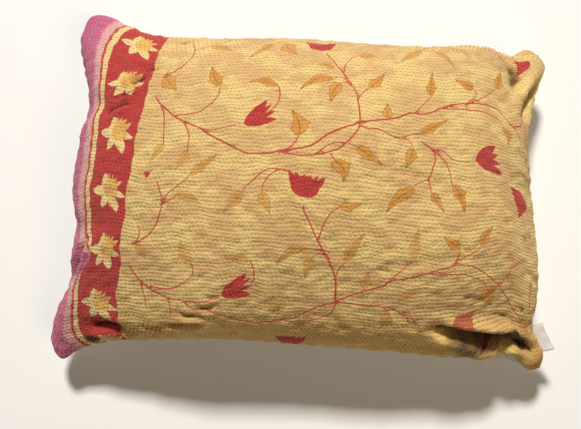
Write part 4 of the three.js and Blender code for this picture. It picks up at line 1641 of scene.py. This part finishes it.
@dataclass
class Cover:
    """The sewn cover: both panels, joined at the seam, with quilting in their relief."""

    form: FilledForm
    plan: StitchPlan
    design: BlockPrint
    back_step: int = 3
    stitch_fade: float = 7.0
    crease_reaches: tuple[int, ...] = (1, 2, 12)
    map_edge: float = 0.002
    front_map: tuple[float, float] = (0.252, 0.746)
    back_map: tuple[float, float] = (0.002, 0.244)
    points: dict = field(default_factory=dict)
    measures: dict = field(default_factory=dict)

    def panel(self, side: Side) -> None:
        """Works out the grid of one panel and keeps it.

        Args:
            side: Which panel.
        """
        count = self.plan.cells // (1 if side is Side.FRONT else self.back_step)
        lines = 2 * self.plan.rows
        base_u = (np.arange(count + 1) / count - 0.5) * self.form.cloth_length
        base_v = (np.arange(lines + 1) / lines - 0.5) * self.form.cloth_width
        u, v = np.meshgrid(base_u, base_v, indexing="ij")
        v = v + self.plan.wander(u, v)
        v[:, 0], v[:, -1] = base_v[0], base_v[-1]
        smooth = self.form.smooth(u, v, side)
        half_row = np.broadcast_to(np.arange(lines + 1), u.shape)
        fade = off_seam(self.form.to_seam(u, v), self.stitch_fade)
        off = self.form.relief(u, v, side) + self.plan.press(u, v, half_row) * fade
        off[0] = off[-1] = 0
        off[:, 0] = off[:, -1] = 0
        points = smooth + panel_normals(smooth, side) * off[..., None] + self.form.place
        points[..., 2] = np.where(points[..., 2] < self.form.flat_below, 0, points[..., 2])
        facing = panel_normals(points, side)
        # How far each point sinks below its surroundings at three reaches, kept for the painted shade of
        # pinches, creases and valleys.
        sunk = [((blurred(points, reach) - points) * facing).sum(-1) * fade for reach in self.crease_reaches]
        self.points[side] = points
        self.measures[side] = {"u": u, "v": v, "half_row": half_row, "normal": facing,
                               "sunk": np.stack(sunk, -1)}

    def numbers(self) -> tuple[Grid, Grid, Grid]:
        """Numbers the vertices of both panels, which share the seam.

        Returns:
            Numbers on the front's grid, numbers on the back's grid, and the points.
        """
        front, back = self.points[Side.FRONT], self.points[Side.BACK]
        front_ids = np.arange(front.shape[0] * front.shape[1]).reshape(front.shape[:2])
        back_ids = np.full(back.shape[:2], -1)
        back_ids[0], back_ids[-1] = front_ids[0], front_ids[-1]
        back_ids[:, 0], back_ids[:, -1] = front_ids[::self.back_step, 0], front_ids[::self.back_step, -1]
        own = back_ids < 0
        back_ids[own] = front_ids.size + np.arange(own.sum())
        return front_ids, back_ids, np.concatenate([front.reshape(-1, 3), back[own]])

    @staticmethod
    def front_faces(ids: list[list[int]]) -> list[tuple[int, ...]]:
        """Faces of the front, its corner cells cut so that no triangle has two seam edges.

        Args:
            ids: Vertex numbers of the front's grid.

        Returns:
            The faces.
        """
        made = []
        last_i, last_j = len(ids) - 2, len(ids[0]) - 2
        for i in range(last_i + 1):
            for j in range(last_j + 1):
                a, b, c, d = ids[i][j], ids[i + 1][j], ids[i + 1][j + 1], ids[i][j + 1]
                if i in (0, last_i) and j in (0, last_j):
                    made += [(a, b, c), (a, c, d)] if (i == 0) == (j == 0) else [(a, b, d), (b, c, d)]
                else:
                    made.append((a, b, c, d))
        return made

    def back_faces(self, ids: list[list[int]], front: list[list[int]]) -> list[tuple[int, ...]]:
        """Faces of the back, whose outer cells fan out to the front's finer seam.

        Args:
            ids: Vertex numbers of the back's grid.
            front: Vertex numbers of the front's grid.

        Returns:
            The faces.
        """
        made = []
        step, last_j = self.back_step, len(ids[0]) - 2
        for i in range(len(ids) - 1):
            for j in range(last_j + 1):
                if 0 < j < last_j:
                    made.append((ids[i][j], ids[i][j + 1], ids[i + 1][j + 1], ids[i + 1][j]))
                    continue
                edge, inner = (0, 1) if j == 0 else (last_j + 1, last_j)
                seam = [front[k][edge] for k in range(i * step, i * step + step + 1)]
                first, second = ids[i][inner], ids[i + 1][inner]
                if i == 0:
                    fan = [(second, first, seam[0])] + [(second, p, q) for p, q in zip(seam, seam[1:])]
                else:
                    fan = [(first, p, q) for p, q in zip(seam, seam[1:])] + [(first, seam[-1], second)]
                made += [face[::-1] for face in fan] if j == 0 else fan
        return made

    def build(self) -> bpy.types.Object:
        """Makes the cover's mesh with its cloth measures and the values of the print.

        Returns:
            The cover.
        """
        for side in Side:
            self.panel(side)
        front_ids, back_ids, points = self.numbers()
        fronts = self.front_faces(front_ids.tolist())
        faces = fronts + self.back_faces(back_ids.tolist(), front_ids.tolist())
        made = shape_mesh("quilted_cover", points, faces)
        own = back_ids >= front_ids.size
        u, v, half_row, sunk = (
            np.concatenate([self.measures[Side.FRONT][name].reshape(front_ids.size, -1),
                            self.measures[Side.BACK][name][own].reshape(own.sum(), -1)]).squeeze()
            for name in ("u", "v", "half_row", "sunk"))
        blank, row = np.zeros_like(u), half_row / 2
        leaves, leaf_kinds = self.design.leaves(u, v)
        blooms, bloom_kinds = self.design.blooms(u, v)
        along = u / self.plan.period + self.plan.sway(u, row)
        keep_values(made, cloth=np.stack([u, v, blank], -1), quilt=np.stack([along, row, blank], -1),
                    sunk=sunk, vine=self.design.vines(u, v), leaf=leaves, leaf_kind=leaf_kinds,
                    bloom=blooms, bloom_kind=bloom_kinds, lotus=self.design.lotuses(u, v),
                    strip=self.design.strips(u, v))
        self.lay_map(made, u, v, len(fronts))
        return made

    def lay_map(self, made: bpy.types.Object, u: Grid, v: Grid, fronts: int) -> None:
        """Lays both panels flat in one map, the printed one large, and marks which finish each face has.

        Args:
            made: The cover.
            u, v: Cloth measures of its vertices.
            fronts: How many of its faces belong to the front.
        """
        mesh = made.data
        corners = np.zeros(len(mesh.loops), dtype=np.int32)
        mesh.loops.foreach_get("vertex_index", corners)
        on_front = np.arange(len(corners)) < mesh.polygons[fronts].loop_start
        x = u[corners] / self.form.cloth_length + 0.5
        y = v[corners] / self.form.cloth_width + 0.5
        (front_foot, front_tall), (back_foot, back_tall) = self.front_map, self.back_map
        up = np.where(on_front, front_foot + front_tall * y, back_foot + back_tall * y)
        flat = np.stack([self.map_edge + (1 - 2 * self.map_edge) * x, up], -1)
        layer = mesh.uv_layers.new(name="OFBake")
        layer.data.foreach_set("uv", flat.astype(np.float32).ravel())
        kinds = (np.arange(len(mesh.polygons)) >= fronts).astype(np.int32)
        mesh.polygons.foreach_set("material_index", kinds)

    def dress(self, made: bpy.types.Object, printed: PrintedCotton, plain: PlainKantha) -> None:
        """Gives the cover its finishes and its place in the frame.

        Args:
            made: The cover.
            printed: Finish of the front.
            plain: Finish of the back.
        """
        made.data.materials.append(printed.material())
        made.data.materials.append(plain.material())
        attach(made, "root")
        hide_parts("cushion")


@dataclass
class RunningStitch:
    """The visible stitches of one panel, each a short rounded length of thread."""

    cover: Cover
    side: Side
    thick: float = 0.55
    share: float = 0.4
    uneven: float = 0.16
    sides: int = 3
    margin: float = 7.0
    stations: tuple[float, ...] = (0.0, 0.22, 0.78, 1.0)
    rises: tuple[float, ...] = (-0.1, 0.26, 0.26, -0.1)
    above_cloth: float = 0.12

    def lay(self, u: Grid, row: Grid) -> tuple[Grid, Grid]:
        """Points of the cloth and its normals on rows of stitching.

        Args:
            u: Cloth measure along each row.
            row: Number of each row.

        Returns:
            Points and normals.
        """
        points = self.cover.points[self.side]
        normals = self.cover.measures[self.side]["normal"]
        at = (u / self.cover.form.cloth_length + 0.5) * (points.shape[0] - 1)
        i = np.clip(np.floor(at).astype(int), 0, points.shape[0] - 2)
        part = (at - i)[..., None]
        j = (2 * row).astype(int)
        return (points[i, j] * (1 - part) + points[i + 1, j] * part,
                normals[i, j] * (1 - part) + normals[i + 1, j] * part)

    def starts(self) -> tuple[Grid, Grid, Grid, Grid]:
        """Where the stitches start.

        Returns:
            For each stitch its start along the row, its length, its row and its number in the row.
        """
        plan, cloth_length = self.cover.plan, self.cover.form.cloth_length
        limit = cloth_length / 2 - self.margin
        count = int(cloth_length / plan.period) + 4
        numbers = np.arange(2, plan.rows - 1), np.arange(-count // 2, count // 2)
        rows, order = (grid.ravel().astype(float) for grid in np.meshgrid(*numbers, indexing="ij"))
        even = (order + np.floor(ROW_SHIFT * rows) - ROW_SHIFT * rows) * plan.period
        start = even
        for _ in range(3):
            start = even - plan.sway(start, rows) * plan.period
        length = self.share * plan.period * (1 + self.uneven * np.sin(rows * 12.9898 + order * 78.233))
        keep = (start > -limit) & (start + length < limit)
        return start[keep], length[keep], rows[keep], order[keep]

    def threads(self, start: Grid, length: Grid, rows: Grid) -> Grid:
        """Points of every stitch: its first end, two rings and its last end.

        Args:
            start: Start of each stitch along its row.
            length: Its length.
            rows: Its row.

        Returns:
            The points, one stitch on the first axis.
        """
        u = start[:, None] + length[:, None] * np.array(self.stations)
        spots, normals = self.lay(u, np.repeat(rows[:, None], len(self.stations), 1))
        run = unit(spots[:, -1] - spots[:, 0])
        across = unit(np.cross(normals, run[:, None]))
        middle = spots + normals * (np.array(self.rises)[:, None] * self.thick + self.above_cloth)
        ring = []
        for k in range(self.sides):
            turn = math.tau * k / self.sides + np.pi / 2
            out = math.cos(turn) * across[:, 1:3] + math.sin(turn) * normals[:, 1:3]
            ring.append(middle[:, 1:3] + self.thick / 2 * out)
        ring = np.stack(ring, 2)
        points = np.concatenate([middle[:, :1], ring[:, 0], ring[:, 1], middle[:, 3:]], 1)
        points[..., 2] = np.maximum(points[..., 2], 0)
        return points

    def build(self) -> bpy.types.Object:
        """Makes all stitches of the panel as one mesh, with the shade of each stored.

        Returns:
            The stitches.
        """
        start, length, rows, order = self.starts()
        points = self.threads(start, length, rows)
        each = points.shape[1]
        single = []
        for k in range(self.sides):
            a, b = 1 + k, 1 + (k + 1) % self.sides
            c, d = a + self.sides, b + self.sides
            single += [(0, a, b), (a, c, b), (b, c, d), (c, each - 1, d)]
        faces = (np.array(single)[None] + each * np.arange(len(points))[:, None, None]).reshape(-1, 3)
        made = shape_mesh(f"stitches_{self.side.name.lower()}", points.reshape(-1, 3), faces.tolist())
        v = (rows / self.cover.plan.rows - 0.5) * self.cover.form.cloth_width
        outer = self.cover.design.strips(start, v)[:, 1]
        tone = smoothstep(-0.25, 0.25, outer) if self.side is Side.FRONT else np.ones_like(outer)
        chance = np.abs(np.sin(rows * 127.1 + order * 311.7))
        along = np.array([0.0] + [0.25] * self.sides + [0.75] * self.sides + [1.0])
        stored = np.stack([np.repeat(tone, each), np.tile(along, len(points)), np.repeat(chance, each)], -1)
        keep_values(made, thread=stored)
        return made

    def dress(self, made: bpy.types.Object, thread: bpy.types.Material) -> None:
        """Gives the stitches their finish and their place in the frame.

        Args:
            made: The stitches.
            thread: The thread's material.
        """
        made.data.materials.append(thread)
        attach(made, "root")


@dataclass
class FoldedLabel:
    """The bare cloth label: tape folded once, caught in the right side's seam."""

    form: FilledForm
    start: float = 0.046
    span: float = 0.082
    width: float = 13.0
    clearance: float = 0.35
    rise: float = 0.05
    curl: float = 1.2
    ripple: float = 0.35
    skew: float = -3.0
    tape: float = 0.34
    gap: float = 0.3
    belly: float = 0.25
    cells_along: int = 28
    cells_out: int = 12
    cells_round: int = 6

    def section(self) -> tuple[Grid, Grid, Grid]:
        """Middle line of the folded tape: distance out, lift, and measure along the tape.

        Returns:
            The three values from root to fold and back.
        """
        out = np.linspace(0, self.width, self.cells_out + 1)
        apart = self.gap / 2 + self.tape / 2 + self.belly * np.sin(np.pi * out / self.width)
        turn = np.linspace(-np.pi / 2, np.pi / 2, self.cells_round + 1)[1:-1]
        radius = apart[-1]
        across = np.concatenate([out, self.width + radius * np.cos(turn), out[::-1]])
        lift = np.concatenate([-apart, radius * np.sin(turn), apart[::-1]])
        run = np.concatenate([[0], np.cumsum(np.hypot(np.diff(across), np.diff(lift)))])
        return across, lift, run

    def skins(self, shares: Grid, across: Grid, lift: Grid) -> Grid:
        """Points of the tape's two faces.

        Args:
            shares: Places along the right side's seam.
            across, lift: Middle line of the folded tape.

        Returns:
            The points: face, place along the seam, place round the fold.
        """
        slope = unit(np.stack([np.gradient(across), np.gradient(lift)], -1))
        roots = self.form.seam(RIGHT_SEAM, shares) + self.form.place
        tangent = unit(roots[-1] - roots[0])
        outward = unit(np.array([tangent[1], -tangent[0], self.rise]))
        normal = unit(np.cross(outward, tangent))
        faces = []
        for half in (self.tape / 2, -self.tape / 2):
            out = across - half * slope[:, 1]
            part = np.clip(out / self.width, 0, 1)
            raised = self.curl * np.sin(np.pi * part * 0.8) + lift + half * slope[:, 0]
            waves = self.ripple * np.sin(np.arange(len(shares)) * 0.55 + 0.6)[:, None] * part**1.5
            pulled = self.skew * np.clip(out / self.width, 0, 1.05)
            flat = outward * (self.clearance + out)[:, None] + tangent * pulled[:, None]
            faces.append(roots[:, None] + flat + normal * (raised + waves)[..., None])
        return np.stack(faces)

    @staticmethod
    def joined(ids: Grid) -> list[list[int]]:
        """Faces of the tape, its cut edges closed.

        Args:
            ids: Vertex numbers: face of the tape, place along the seam, place round the fold.

        Returns:
            The faces.
        """
        upper, lower = ids.tolist()
        last_i, last_j = len(upper) - 1, len(upper[0]) - 1
        made = []
        for i in range(last_i):
            for j in range(last_j):
                made.append([upper[i][j], upper[i][j + 1], upper[i + 1][j + 1], upper[i + 1][j]])
                made.append([lower[i][j], lower[i + 1][j], lower[i + 1][j + 1], lower[i][j + 1]])
            for j in (0, last_j):
                edge = [upper[i][j], upper[i + 1][j], lower[i + 1][j], lower[i][j]]
                made.append(edge if j == 0 else edge[::-1])
        for j in range(last_j):
            for i in (0, last_i):
                edge = [upper[i][j], lower[i][j], lower[i][j + 1], upper[i][j + 1]]
                made.append(edge if i == 0 else edge[::-1])
        return made

    def build(self) -> bpy.types.Object:
        """Makes the label's mesh, with its cloth measures and the distance to its cut edges.

        Returns:
            The label.
        """
        across, lift, run = self.section()
        shares = np.linspace(self.start, self.start + self.span, self.cells_along + 1)
        points = self.skins(shares, across, lift)
        ids = np.arange(points[..., 0].size).reshape(points.shape[:3])
        made = shape_mesh("folded_label", points.reshape(-1, 3), self.joined(ids))
        x, y = np.meshgrid(shares * self.form.cloth_width, run, indexing="ij")
        to_end = np.minimum(x - x[0, 0], x[-1, 0] - x)
        measures = np.stack([x, y, np.minimum(to_end, np.abs(run[-1] / 2 - y))], -1)
        keep_values(made, cloth=np.tile(measures.reshape(-1, 3), (2, 1)))
        return made

    def dress(self, made: bpy.types.Object, tape: LabelTape) -> None:
        """Gives the label its finish and its place in the frame.

        Args:
            made: The label.
            tape: Its finish.
        """
        made.data.materials.append(tape.material())
        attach(made, "root")
        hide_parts("label")


@dataclass
class Studio:
    """Floor, lights and camera."""

    form: FilledForm
    eye: Spot = (4.93, -129.63, 1010.41)
    target: Spot = (-21.6, -48.95, 80.0)
    roll: float = 0.232
    focal_pixels: float = 790.1
    picture_width: float = 581.0
    sensor_width: float = 36.0
    clip_start: float = 0.01
    light_target: Spot = (0, 0, 0.08)
    floor_half: float = 4000.0
    floor_level: float = -0.3
    floor_roughness: float = 0.9
    floor_colour: Colour = srgb(250, 250, 249)
    floor_speck: Colour = srgb(252, 252, 251)
    sky: Colour = (1.0, 0.93, 0.82, 1.0)
    sky_strength: float = 0.05

    def camera(self) -> None:
        """Places the camera at the photograph's view of the cushion."""
        shift = Vector(self.form.place)
        eye = Vector(self.eye) + shift
        look = (Vector(self.target) + shift - eye).normalized()
        right = look.cross(Vector((0, 1, 0))).normalized()
        up = right.cross(look)
        turn = math.radians(self.roll)
        right, up = right * math.cos(turn) + up * math.sin(turn), up * math.cos(turn) - right * math.sin(turn)
        data = bpy.data.cameras.new("camera")
        data.sensor_width = self.sensor_width
        data.lens = self.focal_pixels * self.sensor_width / self.picture_width
        data.clip_start = self.clip_start
        made = bpy.data.objects.new("camera", data)
        matrix = Matrix((right, up, -look)).transposed().to_4x4()
        matrix.translation = eye * MM
        made.matrix_world = matrix
        bpy.context.scene.collection.objects.link(made)
        bpy.context.scene.camera = made

    def light(self, name: str, at: Spot, size: float, power: float, tint: Spot) -> None:
        """One soft square light that faces the cushion.

        Args:
            name: Its name.
            at: Its place in metres.
            size: Its side in metres.
            power: Its power in watts.
            tint: Its colour.
        """
        data = bpy.data.lights.new(name, "AREA")
        data.size = size
        data.energy = power
        data.color = tint
        made = bpy.data.objects.new(name, data)
        made.location = at
        made.rotation_euler = (Vector(self.light_target) - Vector(at)).to_track_quat("-Z", "Y").to_euler()
        bpy.context.scene.collection.objects.link(made)

    def floor(self) -> None:
        """Lays the pale floor."""
        corners = ((-1, -1), (1, -1), (1, 1), (-1, 1))
        points = np.array([(x * self.floor_half, y * self.floor_half, self.floor_level) for x, y in corners])
        made = shape_mesh("floor", points, [(0, 1, 2, 3)], smooth=False)
        g = Surface("pale_floor")
        place = Wire(g, g.node("ShaderNodeTexCoord").outputs["Object"])
        colour = g.mix(g.noise(place, 3.0), self.floor_colour, self.floor_speck)
        made.data.materials.append(g.finished(Base_Color=colour, Roughness=self.floor_roughness))

    def build(self) -> None:
        """Sets up floor, lights, world and camera."""
        self.floor()
        self.light("key_light", (-0.5, 3.6, 4.3), 0.7, 328.0, (1.0, 0.97, 0.93))
        self.light("front_fill", (1.8, -1.4, 3.1), 1.6, 28.0, (1.0, 0.82, 0.58))
        world = bpy.data.worlds.new("soft_world")
        world.use_nodes = True
        background = world.node_tree.nodes["Background"]
        background.inputs["Color"].default_value = self.sky
        background.inputs["Strength"].default_value = self.sky_strength
        bpy.context.scene.world = world
        bpy.context.scene.view_settings.view_transform = "Standard"
        self.camera()


def main() -> None:
    """Builds the cushion, its stitches, its label and the studio, and reports each piece."""
    logging.basicConfig(level=logging.INFO, format="%(message)s")
    form = FilledForm()
    effects = Effects()
    studio = Studio(form)
    studio.build()
    cover = Cover(form, StitchPlan(form), BlockPrint())
    quilted = cover.build()
    cover.dress(quilted, PrintedCotton(effects), PlainKantha(effects))
    LOG.info("cover: %d faces", len(quilted.data.polygons))
    thread = QuiltingThread().material()
    for side in Side:
        stitch = RunningStitch(cover, side)
        made = stitch.build()
        stitch.dress(made, thread)
        LOG.info("%s: %d faces", made.name, len(made.data.polygons))
    label = FoldedLabel(form)
    tag = label.build()
    label.dress(tag, LabelTape(effects))
    LOG.info("label: %d faces", len(tag.data.polygons))


if __name__ == "__main__":
    main()
